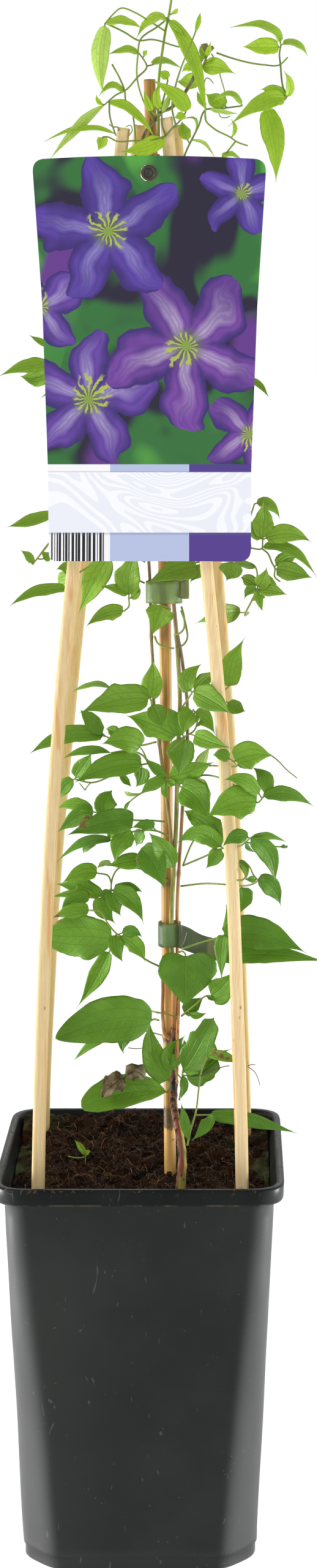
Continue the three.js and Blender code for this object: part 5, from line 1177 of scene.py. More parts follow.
# %% [markdown]
# ## Leaf finishes
# Old leaves are a satin mid green with a paler underside, and the top growth is a bright yellow green.
# Both finishes share one recipe. The midrib, the two side veins that arch from base to tip, and the
# slanting cross veins are found from the numbers on the mesh, so every leaf gets veins that fit its own
# outline. Veins are sunk on top and stand out below.

# %% Leaf finish
def leaf_finish(name, dark, light, vein, under, bark_low, bark_high, rough, upper, lower):
    """Satin leaf with arching veins."""
    f = Finish(name, Specular_IOR_Level=0.32)
    across = f.absolute(f.mark("across"))
    along, half, size, below = f.mark("along"), f.mark("half"), f.mark("size"), f.mark("under")
    off = f.times(across, half)
    wander = f.times(f.minus(f.grain(160, 2), 0.5), 0.5)
    middle = f.span(off, 0.5, 0.1)
    arch = f.times(f.absolute(f.minus(across, 0.4)), half)
    arch = f.times(f.span(arch, 0.34, 0.06), f.span(half, 1.6, 3.0))
    slant = f.minus(f.over(f.times(along, size), 5.0), f.over(off, 4.6))
    saw = f.absolute(f.minus(f.math("FRACT", f.plus(slant, wander)), 0.5))
    cross = f.times(f.span(saw, 0.42, 0.49), f.span(half, 2.0, 4.0))
    net = f.span(f.cells(520, feature="DISTANCE_TO_EDGE"), 0.07, 0.01)
    veins = f.larger(middle, f.larger(f.times(arch, 0.8), f.times(cross, 0.6)))
    mottle = f.grain(110, 4, 0.6)
    body = f.blend(f.mark("tone"), dark, light)
    body = f.blend(f.span(f.axis("Z"), 0.37, 0.5, 0, 0.42), body, upper)
    body = f.blend(f.span(f.axis("Z"), 0.34, 0.24, 0, 0.35), body, lower)
    body = f.coat(body, light, f.span(mottle, 0.38, 0.68), 0.26)
    body = f.coat(body, dark, f.span(across, 0.9, 1.0), 0.35)
    body = f.coat(body, dark, net, 0.08)
    body = f.coat(body, vein, veins, 0.45)
    back = f.blend(f.times(veins, 0.3), under, vein)
    colour = f.blend(f.span(below, 0.4, 0.6), body, back)
    spoil = f.times(f.mark("spoil"), f.span(f.grain(950, 4, 0.7), 0.36, 0.58))
    colour = f.blend(f.span(spoil, 0.14, 0.26, 0, 0.8), colour, "8f8d3c")
    colour = f.blend(f.span(spoil, 0.26, 0.42), colour, "6b4a2c")
    bare = f.blend(f.mark("tone"), bark_low, bark_high)
    bare = f.coat(bare, dark, f.grain(300, 3, 0.6, (1, 1, 0.3)), 0.4)
    f.set("Base Color", f.blend(f.mark("stalk"), colour, bare))
    f.set("Roughness", f.span(mottle, 0.3, 0.7, rough - 0.06, rough + 0.1))
    f.set("Subsurface Weight", 0.12)
    f.set("Subsurface Radius", (0.0006, 0.0012, 0.0003))
    side = f.minus(f.times(below, 2), 1)
    f.bumps((f.times(veins, side), 0.22), (f.times(net, side), 0.04), (mottle, 0.06))
    return f


old_leaf = leaf_finish(
    "leaf_old", "467510", "6a971a", "5f8f2a", "7f9a44", "71893a", "84853f", 0.44, "8fae33", "446a10")
young_leaf = leaf_finish(
    "leaf_young", "76a317", "abcb2d", "93b53a", "a6c656", "84963a", "5e5c38", 0.4, "a6c930", "446a10")

# %% [markdown]
# ## The foliage table
# A line with a name starts a spray. A line with `~` is a leaf stalk and one with `=` a thick shoot, as
# readings of x, height and depth. Each other line is a leaflet: the x and height of its base, its middle
# and its tip, the depth of base and tip, its width, its roll, and its outline where that is not the plain
# ovate one. A roll of 0 faces the front, 90 lies flat and 180 shows the underside. A leaflet is carried
# by a short stalk of its own from the nearest point of the spray's stalks. The lines were set out leaf by
# leaf, because a climbing plant has no rule that a loop could follow.

# %% Foliage
FOLIAGE = """
leading_shoot
= 8.5 738 -9 / 8.4 752 -9 / 8.3 765 -8 / 9 777 -6 / 10.8 790 -4 / 12.2 799 -3 / 14 807.5 -2 /
  15.4 816 -1 / 16.6 828 0 / 17.2 838 0.5
~ 12.2 799 -3 / 6 803 -6 / 3 804.8 -8 / -4 809 -10 / -12 811.3 -13 / -16 808 -14 / -20 803.5 -15
~ 13.6 805.8 -3 / 8 801.5 -6 / -1.4 794 -10 / -2.6 786 -10 / -3 774 -10 / 0 762.5 -10 / 5.4 751.6 -10
~ -20 803.5 -15 / -10 798.6 -13 / -1.4 794 -10 / 4 794.6 -9 / 20 790.6 -7 / 28 790 -6
~ -3 774 -10 / 2.2 780.3 -8 / 0 784.5 -8 / -2.5 787.8 -8
~ 2.2 780.3 -8 / 5.5 781 -3
~ -3 774 -10 / -9.7 767 -12 / -14 765 -13 / -18 761.8 -14 / -20.5 759.5 -15
~ -16.5 781.3 -14 / -12 773 -13 / -9.7 767 -12 / -9 761 -12 / -6 756.5 -12 / -4.7 750 -13 / -3.6 736 -14.4
~ -18 761.8 -14 / -17.6 753 -15.5 / -16 747.5 -17 / -14.4 743 -18
13.6 807.3 5 805.2 -3 795.5 -4 -14 9 45
15.4 807 27.3 784 34 751 -4 -18 8 15
15.2 807.5 17.6 809.5 18.8 811 -2 -4 2.8 30 lance
13.8 805 17.5 801.2 21.5 797.3 -4 -10 3.4 40 lance
17 836 13.5 843 11.5 850 0 -3 5 10 lance
17.2 837 20.5 843 22 851.5 0 3 5 10 lance
-21 802.4 -23.6 785 -22.7 765.5 -16 -20 10 165
-19.8 803.7 -10 804.3 -0.5 800.3 -15 -22 7.5 45
-2.5 787.8 -9.5 788.6 -18 787 -8 -14 7 50
5.5 781 12 782.8 20.5 779.6 -3 4 6.5 50
-10 767 -17 769.3 -22.8 764.3 -12 -20 6.5 50
-20.8 759 -34 748.2 -49.5 730.6 -15 -26 5.5 150 lance
-18 760.5 -5 756 7.6 741.4 -14 -16 7.5 45
-14.5 743.6 -33 746.6 -52 740.3 -18 -24 5.5 55 lance
0.5 785.5 1.4 787 2.2 788.8 -8 -9 3 40 lance
-21 760 -23.8 761.3 -25 764.8 -15 -18 2.6 20 lance
6 755.8 6.2 761 5.8 766.8 -9 -7 2.4 0 lance
side_shoot_top
~ 18 747.4 -12.8 / 15.8 758 -13 / 17.5 769 -12 / 20.5 779 -15.4 / 25 790 -18 / 28.5 799 -14
28.5 799 30 804 31.3 808.6 -14 -12 2.8 0 lance
spray_top_front
~ 12.2 742.7 -15.6 / 16 747 -15.8 / 20 751 -15.5 / 23.2 755.6 -15
~ 12.2 742.7 -15.6 / 10.6 748 -15.4 / 10.2 754.4 -14.8 / 9.9 758 -14
~ 10.2 754.4 -14.8 / 7 754 -14.4 / 5 756 -13.6
~ 12.2 742.7 -15.6 / 5 740.6 -18 / -5 740.2 -19.6 / -14 740 -20.4 / -19 742.3 -20.4 / -21.5 742.3 -20.6
~ 9.9 758 -14 / 12 766 -13.6 / 13.5 773 -12
23.3 756 17.5 764 5 773.2 -15.4 -17 9 20
22.6 755 20 753.2 17 752.6 -15 -17 5 20
10.6 755.2 12.8 760.5 15 766.7 -14.6 -13 3.6 150 lance
9.7 757.6 7.6 763 9.4 770.5 -14.4 -15 4.4 0
4.8 756 2.8 761 0.2 766.3 -13.6 -12 4.2 10
13.5 773.4 11.5 775.8 9.6 777.6 -12 -12 5 0
13.2 741 2 736.8 -12 735.6 -17 -23.6 11 25
-21.8 741.8 -22 739 -24 735.5 -20.6 -21 6 5 heart
spray_crown_right
~ 34.2 784.8 -6 / 32 779.5 -6 / 31 776 1 / 30.6 773 4
32.4 779 40 779.6 49.5 776 -6 -10 10 20
30.6 773 25 771.5 18.5 772 5 9 9 10
31 777 26 779.5 21.5 777 4 8 6 20
33.8 785 32 787.5 30.6 791.5 -5 -4 3 10
34.6 785 35.6 788.5 36.4 793 -5 -6 3 20
34 784.4 30.5 785 27.5 788 -5 -8 2.6 40
33 783 35.8 783.6 38.4 786 -6 -9 2.6 60
spray_top_right
~ 39.8 787.4 -2 / 46 785.2 -4 / 58 782 -8 / 65 781 -10 / 74 781.2 -14 / 78 785 -15
~ 74 781.2 -14 / 73.5 787 -14.5 / 74.3 791.5 -15
~ 74 781.2 -14 / 75.4 769 -14 / 77.3 763.5 -15 / 72 760.5 -11 / 66.5 757 -9
73.8 793.4 66.5 801.3 48 800.5 -15 -24 8 50
73.3 790.7 64 790.3 54.3 790.5 -15 -20 9.3 8
75.2 792 82.5 792.3 88.3 785.8 -15 -10 7 50
77.5 764 79 770.5 75.6 777 -15 -19 5.5 35
77 763.8 70 767.2 63.8 767.5 -14 -6 8 30
76.8 762.3 64 761 46 748.6 -16 -26 10.5 22
66.5 757 71 740.5 73.2 718.8 -9 -13 12.5 10
spray_top_mid
~ 21.2 729 -18.6 / 24.5 737 -16 / 27.5 743 -15 / 30 748 -15 / 33.6 756.6 -14 / 43 757.6 -14 / 53.5 759 -15
~ 33.6 756.6 -14 / 34 751 -14 / 38 747 -15 / 48 741.5 -16 / 50 740 -16 / 56.5 737.5 -17
~ 50 740 -16 / 46 735 -16 / 42.5 731 -16
46 757.5 40 761.5 33.5 765 -12 -6 9 15
53.6 759.4 46.5 765 37.5 760.5 -15 -19 7 60
35 757.4 42 755.6 50.5 755 -15 -20 4 120 lance
34 757.4 31.5 761.8 29 766.4 -13 -7 4 20 lance
47.9 741.6 49.8 746.8 47.4 751.6 -16 -16 2.4 10 lance
24.6 737.6 22.5 744.5 20.6 750.5 -12 -3 6.5 10
26.4 740.4 33.5 737.8 39 730.5 -16 -20 7 100
27.4 743 28.4 751.6 20.8 751.5 -14 -9 2.8 60 lance
42.2 730.8 47 732.6 53.5 729.8 -16 -19 6 60
spray_label_left_top
~ -5.4 612 -12.4 / -15 617 -11 / -27 620 -10 / -38 621 -14 / -48 619 -20
~ -36.9 620.8 -13.6 / -41 624.6 -16 / -45 627.5 -18
-49 620 -62 619.3 -76.7 613.4 -20 -26 8 20
-48 616 -56 613.4 -65.5 613.6 -19 -14 11 12
-46 628.4 -54 631.8 -60.4 635.6 -18 -22 3.4 20 lance
-37 622 -41 634 -38 652 -13 -6 16 20
spray_label_left_low
~ 0 538 -10.6 / -15 540 -10 / -30 542 -9 / -46 541 -14
~ -46 541 -14 / -48 530 -15 / -50.5 524 -16 / -55 518 -17 / -59.3 512.8 -18
-47.5 540.8 -61 536 -72.3 533.7 -14 -22 6.5 20
-59.6 513.4 -61.5 517 -65.6 519.8 -18 -20 4.4 10
-52.4 511.8 -53 516 -49.8 519.4 -14 -12 6.4 10
-31 543 -34 556 -31 572 -8 0 15 25
spray_label_right
~ 11 598 -11.6 / 25 604 -11.5 / 40 610 -15 / 56 612.4 -21
57 612.5 62 609.8 67.4 603 -21 -25 3.6 20 lance
41 611 46 624 44 640 -14 -8 15 20
42 609 49 600 52 585 -16 -20 13 20
spray_right_low_1
~ 17 517.6 -11.4 / 30 519.6 -12 / 45 521 -14 / 58 521.5 -18 / 64 521.3 -20 / 64.5 526 -21
~ 58 521.5 -18 / 57 534 -17 / 60 545.2 -18
~ 64 521.3 -20 / 67.3 518.6 -20 / 69.5 513.5 -20 / 71 510.8 -21 / 71 506 -21 / 74 503.4 -21
64.5 527 65.3 536 65.5 547 -22 -25 11 10
63.5 526.6 60 531 56 537.5 -21 -23 6.5 10
61 546 68 544.8 73.8 537.5 -18 -17 7 40
65.5 527.3 78 529.5 90.3 525.7 -22 -30 10 18
65 521.8 80 519.8 93.6 506.7 -20 -30 7 40
71.5 511.6 77 515.8 82.5 516.5 -20 -13 8 15
71.3 510 80.5 508.8 90.2 505.3 -22 -27 10 15
spray_right_low_2
~ 17.4 511 -11 / 30 514 -11 / 45 514.6 -14 / 60.5 511.5 -19 / 61.8 500 -20
~ 61.8 500 -20 / 58 492 -20 / 56 488.3 -19 / 57 487 6 / 52.6 486.9 31
48 514 47.5 509.5 45.3 504 -15 -8 12 10
60.3 511.2 54 512.2 46 513 -19 -24 6 60
61.7 501 65 505 66.5 510.8 -20 -24 8 5
61.8 503 67 504 72.3 500.2 -20 -16 5.5 25
61.4 501.5 57 504.6 53 505.5 -20 -14 6.5 10
61.4 499.5 57.5 498.6 55 494 -20 -24 5 10
62.3 499.2 69.5 498.9 77.4 497 -20 -27 6.5 20
61.6 498.6 62.5 494 64.3 488.3 -20 -22 7.5 10 lobed
52.3 486.8 42 485.9 28.5 480.7 31 56 10.5 12
spray_centre
~ 16.6 514 -14.4 / 23 515.4 -16 / 29.5 511.4 -19
29 511 18 509.5 2.5 503.4 -19 -24 14 35
28.4 513.4 29 509 25.5 503.4 -18 -20 9 10
spray_centre_left
~ 0.9 502.8 -9.4 / -3 504 -12 / -6.4 501 -14 / -7.5 495 -14 / -7.5 490 -14 / -10.3 487.5 -15
-6.9 496.6 -7 507 -3 521 -14.5 -24 13 10
-8 496 -14 499.8 -22.3 500.5 -14 -18 5.5 25
-6.6 494.4 -3 497.4 -3.2 502.3 -14 -17 4.4 10
-10.6 487.5 -20 487 -30.6 480.2 -15 -20 8 15
spray_left_high
~ 1.4 514 -10 / -8 518.4 -10 / -18 517.5 -9 / -30 511 -6 / -38 505 -6 / -41 499.6 -8
-18 517 -26 503.5 -35.3 487.4 -9 -6 14 20
-41.2 499.2 -57 497.8 -70 490.2 -8 -20 6.5 30
-36 507 -41 511 -46.4 510.2 -6 -8 7 15
-38.4 505 -42.5 504.6 -45.6 502 -6 2 8 10
-38.6 503 -40.2 500 -40 496 -6 -4 4 20
spray_centre_low
~ 15 488.5 -13.4 / 12.5 490 -15 / 9.8 490.6 -16
11.4 498 9.4 487.5 5.8 474 -11 -18 14.5 8
spray_mid_left_1
~ 5 436.6 -13.4 / 4.2 440.5 -15 / -6 443 -6 / -17.5 446.3 9
4.5 440.8 6.2 450.5 6 461.3 -15.4 -19 11 10
4.2 439.4 8 432 10.3 424.8 -18 -20.5 9.5 15
3.6 440.4 -14 439.8 -33 432.6 -16 -28 15 12
-17.5 446.3 -27 448 -37.4 444.2 9 19 5.4 65 lance
spray_mid_left_2
~ 7.2 417.4 -10.6 / -2 415.5 -6 / -12 417 -4 / -20 420.4 -4
-21.4 421.8 -28 428.5 -33.4 433.7 -4 -8 8 25
-21.4 420.6 -41 420.5 -59 410.5 -4 -10 9 15
-13 418.4 -16 423 -19.6 424.3 -3 3 6 20
spray_mid_left_3
~ 9 405 -14.6 / 4.4 406 -15 / 0 405.3 -15 / -15 400 -9 / -28 395.6 -7 / -36.5 397.5 -7
~ 4.4 406 -15 / -2 411.4 -10.4 / -10 412.6 -8.6 / -17.3 411.5 -8
7.4 417.6 -6 417.4 -21 416.4 -16 -26 14 22
-17.5 411.8 -30 412.8 -42.6 409.4 -8 -4 5.4 40 lance
0 405.3 -17 404 -35 395 -16 -26 12.5 20
-36 398 -32 404 -27.2 410.3 -8 -12 9.5 12
-37.4 397.8 -42 393 -45 386 -7 -4 7.5 10
-0.4 404 -0.5 399 -3.9 394 -14.4 -12.5 8 15
-12.5 400.4 -9.8 397.5 -6.6 393.5 -9 -10 4 20 lance
spray_centre_fan
~ 16.3 394.4 -15.4 / 15 396 -18 / 13.2 397.6 -20
14.6 397.6 26 401.6 37.5 406.6 -21 -29 10.7 -8
12.8 398 6.5 403.5 0.5 408 -20.5 -19 5 15
12.4 397.2 5.4 394.6 -1.3 389.4 -20.6 -23 6.5 15
12.6 396.6 11.6 391.5 13.5 387 -20.6 -22.5 3.6 20 lance
14 396.8 15.6 395.6 17.4 394.2 -21.4 -24.5 4.6 20
-0.6 390 -5.5 386.6 -8 380 -22.6 -23 1.9 20 lance
3 391.8 -3 389.2 -9.5 391.2 -20 -14 4 125 lance
spray_mid_left_4
~ 12.2 374.6 -15.6 / 6 375.2 -16 / -5 375.5 -16 / -13 377 -11 / -20 378.5 -9 / -27 380 -8
-5 375.5 -20 374.6 -39.6 367 -16 -28 13 20
-26 379 -34.5 377.3 -45 368.4 -8 -8 10 15
-27.6 380.8 -36.5 384.4 -46 381.8 -8 -2 6.5 25
-20 379 -20.3 385.5 -16.5 391 -9 -4 12 10
-11 376 -15.6 370 -18.5 364.8 -12 -7 6 15
spray_mid_left_5
~ 13.6 367 -15.8 / 8 369.5 -17 / 0 370 -18 / -5 369.3 -18.4 / -11 367 -14 / -17 364.5 -10
-5 369 -12 363 -14.5 353 -19 -25 10.5 12
-17 364.3 -32 363.2 -46.2 352.4 -10 -6 5.6 40
-22 364.6 -28 362.5 -31.8 358 -9 -4 4.8 30 lance
8 372 2 373 -5.4 370.6 -17.4 -21 6 20
1 369.6 -1.6 366 -3.6 361.8 -17 -15 8 40
spray_mid_front
~ 16.4 350 -16.6 / 8 356 -18 / 0 360 -18.4 / -1 360.3 -18.6
~ 8 356 -18 / 0 353.5 -16 / -8 352.4 -14.4 / -17 352 -14
-1 360.3 6 352 12 338.7 -19 -27 15 18
16.2 350.4 10.5 360 3 367.4 -17 -25 11.5 20
0 353.3 -9 353 -18 350 -17 -23 8.5 20
-17 352 -21 352 -24.6 349.6 -14 -12 5 140
spray_low_left_1
~ 14.4 343 -12.8 / 9 345 -13.2 / 4 347.4 -10.4 / -5 350 -8 / -13 349.5 -9 / -17 340.3 -10 /
  -17 337.6 -10 / -22 334.5 -10 / -26 334.8 -9.4
~ -16.7 341.2 -9.9 / -18.5 345.5 -10 / -24.5 347 -11
-24.6 347 -33 346.6 -42.6 341.8 -11 -14 9 20
-22.4 335 -33 338.8 -46.7 340.5 -10 -4 8.5 20
-26 334.6 -36 336 -47.9 333.6 -9.4 -9 8 25 lobed
-28 334 -37 332 -44.3 325.8 -10 -14 8 15
-22.2 334 -21 328 -14.5 320.5 -11 -12 11 20
-16 337.5 -6.5 332.3 0.2 320.3 -11 -20 10 18
-15.6 338 -8 339.2 -0.8 336.8 -10 -10 6 20
-16.6 336.8 -15.7 331 -12.3 324.2 -11 -17 8.5 12
-17.3 338 -20 335.5 -21.5 332.5 -11 -10 5 15
spray_low_left_2
~ 8.8 297 -13.6 / 3 299.8 -15 / -3 304 -17 / -12 313 -19 / -14 314.5 -19 / -19 320.5 -19 /
  -22.7 326.4 -18.5 / -28.5 327 -16
~ -14 314.5 -19 / -16.4 308 -13 / -18 304.8 -10
-13.6 315 -14 307.5 -11 299.7 -20 -27 8 8
-12.5 315 -3.5 308 1.7 300.2 -20 -27 8 12
-12 315.8 -6 315.8 -0.3 313 -19 -22 6 20
-28.5 327.4 -38 326.2 -47.9 322.4 -16 -16 8 20
-15 313.5 -33 313.5 -52 313.5 -15 -8 21 10 blunt
-18 304.5 -24.5 291 -33.8 274.3 -10 -12 9.5 20
spray_low_left_3
~ 8.6 268 -16.4 / 6 268.5 -21 / 0 265 -19 / -5 262 -16 / -18 258.6 -15
6 268.5 -18 268.5 -44.5 256.8 -22 -36 24 18 blunt
-18 258.4 -27 255 -36.4 247.4 -15 -13 5 40 lance
-5 262 -10.5 257 -10.4 250.2 -16 -18 6.5 20
spray_low_left_4
~ 13.2 229.4 -23 / 13.6 235 -21.4 / 12 236.4 -20.4 / 4 240.4 -17
13.6 235.6 5.5 250 4.4 266 -21 -19 12.5 15
12.8 229 -8 229.5 -32.3 223.4 -24 -36 17 35 round
4 240.4 0 242 -4.6 242.2 -17 -12 5 40 lance
spray_mid_right_1
~ 21 435.8 -15.6 / 24 440 -26 / 27 444.5 -39
27 444.5 37.5 439.5 45.6 432.4 -40 -57 12 12
26.5 445 24.6 451.5 31 459 -37 -31 9 15
28.2 446 33 450 40 456 -37 -22 7 15
spray_mid_right_2
~ 25.8 431 -12 / 34 438 -10 / 44 445 -8 / 46.5 447.5 -8
46.5 447.5 47.8 459.5 54 473.4 -8 -14 12 12
43.5 437 49 436.8 54.8 434.3 -9 -16 7.5 15
spray_mid_right_3
~ 20.8 419 -14.6 / 22 420 -22 / 28 424 -24 / 29 432 -23 / 27 435 -22
28.4 434.6 24 430.5 21.5 421.5 -24 -30 11 15
28 430 33 430.5 38.6 421.5 -23 -28 10 15
22.6 420.3 33 418.8 46.6 413 -34 -60 9 25
21.6 419.4 21 410 18.5 399 -24 -30 14 12
18.8 421.6 6 427 -8 432 -15.8 -12.5 14 -10
21.8 420.9 17 430 13.2 436 -22.4 -23.5 8.5 15
spray_mid_right_4
~ 20.8 404 -14.4 / 33 404.8 -24 / 43.4 404.4 -34 / 49.8 404.2 -38 / 50 405.4 -47 / 49 406.8 -52
48 407.4 43 410 38 410.2 -54 -52 6 15
49.4 407 58 410.5 70 410.5 -53 -46 13.5 12
50.4 403 53.4 405 57.5 402.8 -40 -36 4 30
spray_mid_right_5
~ 20 397 -14.6 / 33 399.6 -22 / 41.6 398 -32 / 50 393.6 -40 / 57 387.8 -48 / 62.3 385 -53 / 64.8 387.8 -52
~ 20 397 -14.6 / 19.8 393.4 -24
62 384.8 49 384.2 35.5 377 -54 -59 15.5 15
65.3 388 78 389.6 90.5 382 -52 -44 8 35
65.2 388.6 65 397 58.5 403 -50 -44 9 25
63.6 388.4 55 396.5 44.4 396.8 -54 -58 8 25
19.8 393 29 388 36.6 375 -26 -38 15.5 18
49.8 391 54 389 58.4 388.6 -42 -46 3.6 35
spray_mid_right_6
~ 21.6 351 -13.6 / 33 355.8 -22 / 43 360.3 -33 / 51.6 361.4 -37 / 54.6 363 -46 / 57.5 365.7 -54
~ 21.6 351 -13.6 / 26 362 -12 / 33 373 -14
33 373 28 377 22.5 380.5 -15 -17 9 30
42.2 361 31 368.6 18.6 363.6 -33 -22 10 12
57.2 365.8 50 366.7 42.8 361 -55 -58 7.5 20
57.6 366.3 67 366.9 76.4 363.8 -54 -48 5 60 lance
58 365.2 67.5 357.5 71 342.5 -54 -46 10 15
43 359.6 39 355 34 349.8 -32 -34 8 20
52.5 363 56 361 60.3 358 -50 -46 3.5 60
42 362.4 34 373.4 23.6 377.6 -32 -15.4 11 10
68 360 72.5 361.2 77 361.8 -46 -42 3 60 lance
spray_low_right_1
~ 20.4 340 -12.6 / 33 341.4 -18 / 43 341 -26 / 53.4 340.2 -30 / 58 340.8 -34 / 61.6 343.2 -37 /
  59.5 346 -36 / 57 351 -36 / 52 354 -34
51.8 354 55 350 55.5 343.6 -34 -40 5 30 lance
61.4 343.4 58.5 343.7 55.2 343.7 -38 -41 3.6 30
62 343.8 69.5 339 73.6 329.2 -37 -32 9.5 15
53.8 340 53.8 333 52.3 325.4 -29 -26 11 8
spray_low_right_2
~ 21 306.2 -20.4 / 30 309.3 -23.6 / 39 312 -28 / 44 313.8 -32
~ 39 312 -28 / 40.6 305 -29 / 43 301.5 -29
44 313.9 65 314 88 306 -32 -36 17 18
43 301.5 68 303.2 97 298 -29 -34 10 35
44 315 42.4 306 41.6 290 -33 -35 8 20
43.6 314.6 46.4 318 44.8 330 -31 -26 6 20
spray_low_right_3
~ 20.8 270.2 -14.6 / 28 276 -19 / 35.5 281.2 -24 / 37.4 280.8 -25
36.4 281.6 42.5 285.5 48 294.5 -25 -32 13.5 12
22.4 271.2 27 275.2 33 280 -16 -13 8 25
24 272.4 28.6 270.6 33.9 272.1 -18 -21 3.8 30 lance
34 280.3 36.5 280 39 278.3 -24 -27 2.5 40 lance
leaf_heart
~ 19.6 304.6 -13.6 / 21.4 305 -18 / 23 303.4 -24
23 302.6 23 291 23 276.3 -25 -30 29 5 heart
spray_base_right
~ 19.6 225 -29 / 20.8 232 -26.4 / 21.4 239.6 -24.6
21.8 241 29.5 252.5 38 268.6 -25.4 -30 16.5 15 wavy
22.2 240.6 31.5 245.6 47 253.4 -26 -29 10 20
22.3 241.5 22.6 249 22.4 257.5 -19 -15.5 6.5 15
21.2 238.6 22 233 20.6 226.5 -25.4 -30 4.5 10 lance
19.6 236.6 15.6 248 22.6 259.5 -18.9 -18.4 12 8
23.4 238.6 31 240 39.4 247.4 -26.6 -29 12 14 wavy
side_shoot_low
~ 24 200.6 -47 / 26 210 -45 / 28.2 217 -42 / 30 230 -37 / 31 238 -35 / 33 245 -33 / 34.8 249 -32
~ 28.2 217 -42 / 36 217.2 -41
34.8 249.2 43 248.6 53 243.8 -32 -36 5.5 30 lance
36 217.2 58 214.3 81 205.6 -40 -34 7.5 20
35.4 216.6 34 211.6 27 203.6 -42 -52 7 30
24.4 202.6 23.2 212.5 20.8 223 -48 -44 5 10 lance
spray_back_left_high
~ -2.6 600 -9 / -10 604 0 / -22 606 4 / -33 603 12
-33 603 -41 597 -45 584 12 22 15 150
-30 604 -34 616 -35 630 9 18 13 160
-33 603 -44 606 -54 602 12 16 11 120
spray_back_right_high
~ 10.6 575 -9.4 / 19 580 4 / 23 584 20 / 28 584 32 / 38 580 36
38 580 46 572 50 558 36 40 15 155
22.6 583.4 14 592 8 606 19 25 13 150
38 580 48 586 58 585 36 30 10 110
spray_back_mid
~ 23.4 392 -10 / 28 396 4 / 30 398 18
30 398 31 386 33 373 18 28 12 160
30 398 20 402 8 399 18 28 13 120
30 398 32.5 407 36.5 415 18 22 8 140
spray_back_low
~ 8.7 272 -12.4 / 4 273 -4 / -5 272 14
-5 272 -16 268 -28 262 14 24 14 150
-5 272 -12 274.5 -22 275 13 20 9 120
"""

# %% Read the table
def sprays(table):
    """The sprays of the table, each as a name, thick shoots, stalks and leaflets."""
    found = []
    for line in table.strip().replace("/\n", "/").splitlines():
        if line[0].isalpha():
            found.append((line, [], [], []))
        elif line[0] in "=~":
            found[-1]["=~".index(line[0]) + 1].append(readings(line[1:]))
        else:
            words = line.split()
            kind = words.pop() if words[-1].isalpha() else "ovate"
            found[-1][3].append((*[float(word) for word in words], kind))
    return found


YOUNG = """leading_shoot side_shoot_top spray_top_front spray_crown_right spray_top_right
    spray_top_mid""".split()  # sprays with the bright leaves of the top growth
SPRAYS = sprays(FOLIAGE)
print("sprays:", len(SPRAYS), "leaflets:", sum(len(spray[3]) for spray in SPRAYS))

# %% Grow the sprays
STALK = 0.53  # radius of a leaf stalk
THICK_STALK = 0.8  # radius of a shoot that carries stalks
LONGER, WIDER = 0.03, 1.05  # real blades are a little fuller than the lines say
for order, (name, shoots, thin, leaflets) in enumerate(SPRAYS):
    pile = Pile()
    fresh = name in YOUNG
    carriers = [stalk(pile, rows, THICK_STALK, 0.1) for rows in shoots]
    carriers += [stalk(pile, rows, STALK, (order * 0.37 + i * 0.23) % 1) for i, rows in enumerate(thin)]
    carriers = np.concatenate(carriers)
    for i, row in enumerate(leaflets):
        x0, z0, xm, zm, x1, z1, y0, y1, width, roll, kind = row
        base = at(x0, z0, y0)
        start = carriers[np.argmin(np.linalg.norm(carriers - base, axis=1))]
        middle, tip = at(xm, zm, (y0 + y1) / 2), at(x1, z1, y1)
        tip = tip + LONGER * (tip - base)
        leaf(pile, start, base, middle, tip, width * (1 if fresh else WIDER), roll, kind, order * 40 + i)
    heap(name + "_leaves", pile, young_leaf if fresh else old_leaf, "young_leaf" if fresh else "leaf", name)

# %% [markdown]
# ## Tendrils and curls
# A clematis climbs by its leaf stalks: they grope about and curl round whatever they meet. The bare curls
# are thin green tubes through readings of the elevation, with the radius first. A few have dried to
# brown threads.

# %% Tendrils
TENDRILS = """
0.36 / 37 787 -2 / 40.5 780 -4 / 42 774 -5 / 44.3 765 -5 / 44.3 761 -6 / 42 757.5 -7 / 41 755 -6 /
  42 753 -5 / 45 752.6 -5 / 47 753.5 -6
0.36 / 33.5 767 -4 / 33 771 -5 / 34.5 774 -6 / 36.5 773 -7 / 38 771 -6
0.62 / 20.8 490 -12 / 22.3 484 -15 / 22 478 -16 / 19.6 475.6 -15 / 17 475 -13
0.62 / 20.7 488 -12 / 23.2 480 -15 / 23.6 472 -15 / 21.6 469.4 -14 / 19.5 468.5 -13
0.6 / 6.5 474 -9 / 8 470.5 -12 / 12 468.2 -13.6 / 17 467.7 -13
0.36 / 68 411 -40 / 72 408 -42 / 78 402 -42 / 83 398 -41
0.36 / -18 749 -15 / -15.6 747.6 -16 / -13.4 747.6 -15.4 / -13 745.4 -13
0.36 / -7.4 743 -14 / -5.6 746 -15 / -6.6 748.6 -15 / -9 747.6 -14
0.5 / 50.5 343.2 -50 / 54 343.5 -51 / 55.8 347 -48 / 54 350.5 -43 / 51.5 352 -40
0.45 / 22.2 419.4 -31 / 18.6 416 -32 / 15 412.4 -31
0.35 / -31 391.5 -7 / -32.6 393.6 -7 / -34 395.4 -7
0.35 / -31 391.5 -7 / -29.4 394 -7 / -27.4 395.8 -7
0.4 / 6.9 272.5 -16.4 / 13 271.2 -17.4 / 18.9 269.7 -17
0.4 / -1.6 263 -15.4 / 4.5 261.6 -15.6 / 10.4 259.9 -15.6
"""
DRY_TENDRILS = """
0.22 / 56.5 243.5 -44 / 58.5 244.2 -45 / 60.5 244 -46
0.22 / 56.5 243 -44 / 60 240.5 -46 / 62 236.6 -47 / 63 233 -47
0.22 / -59 512.5 -18 / -55 518.6 -16 / -50.5 524.5 -14
0.24 / -7.9 253.2 -15 / -3.4 252.8 -15 / 3 253.6 -14.6 / 9.6 255 -14
0.28 / 30.8 238 -35 / 36 240.4 -38 / 41 242.4 -42 / 46.5 243.6 -47
"""
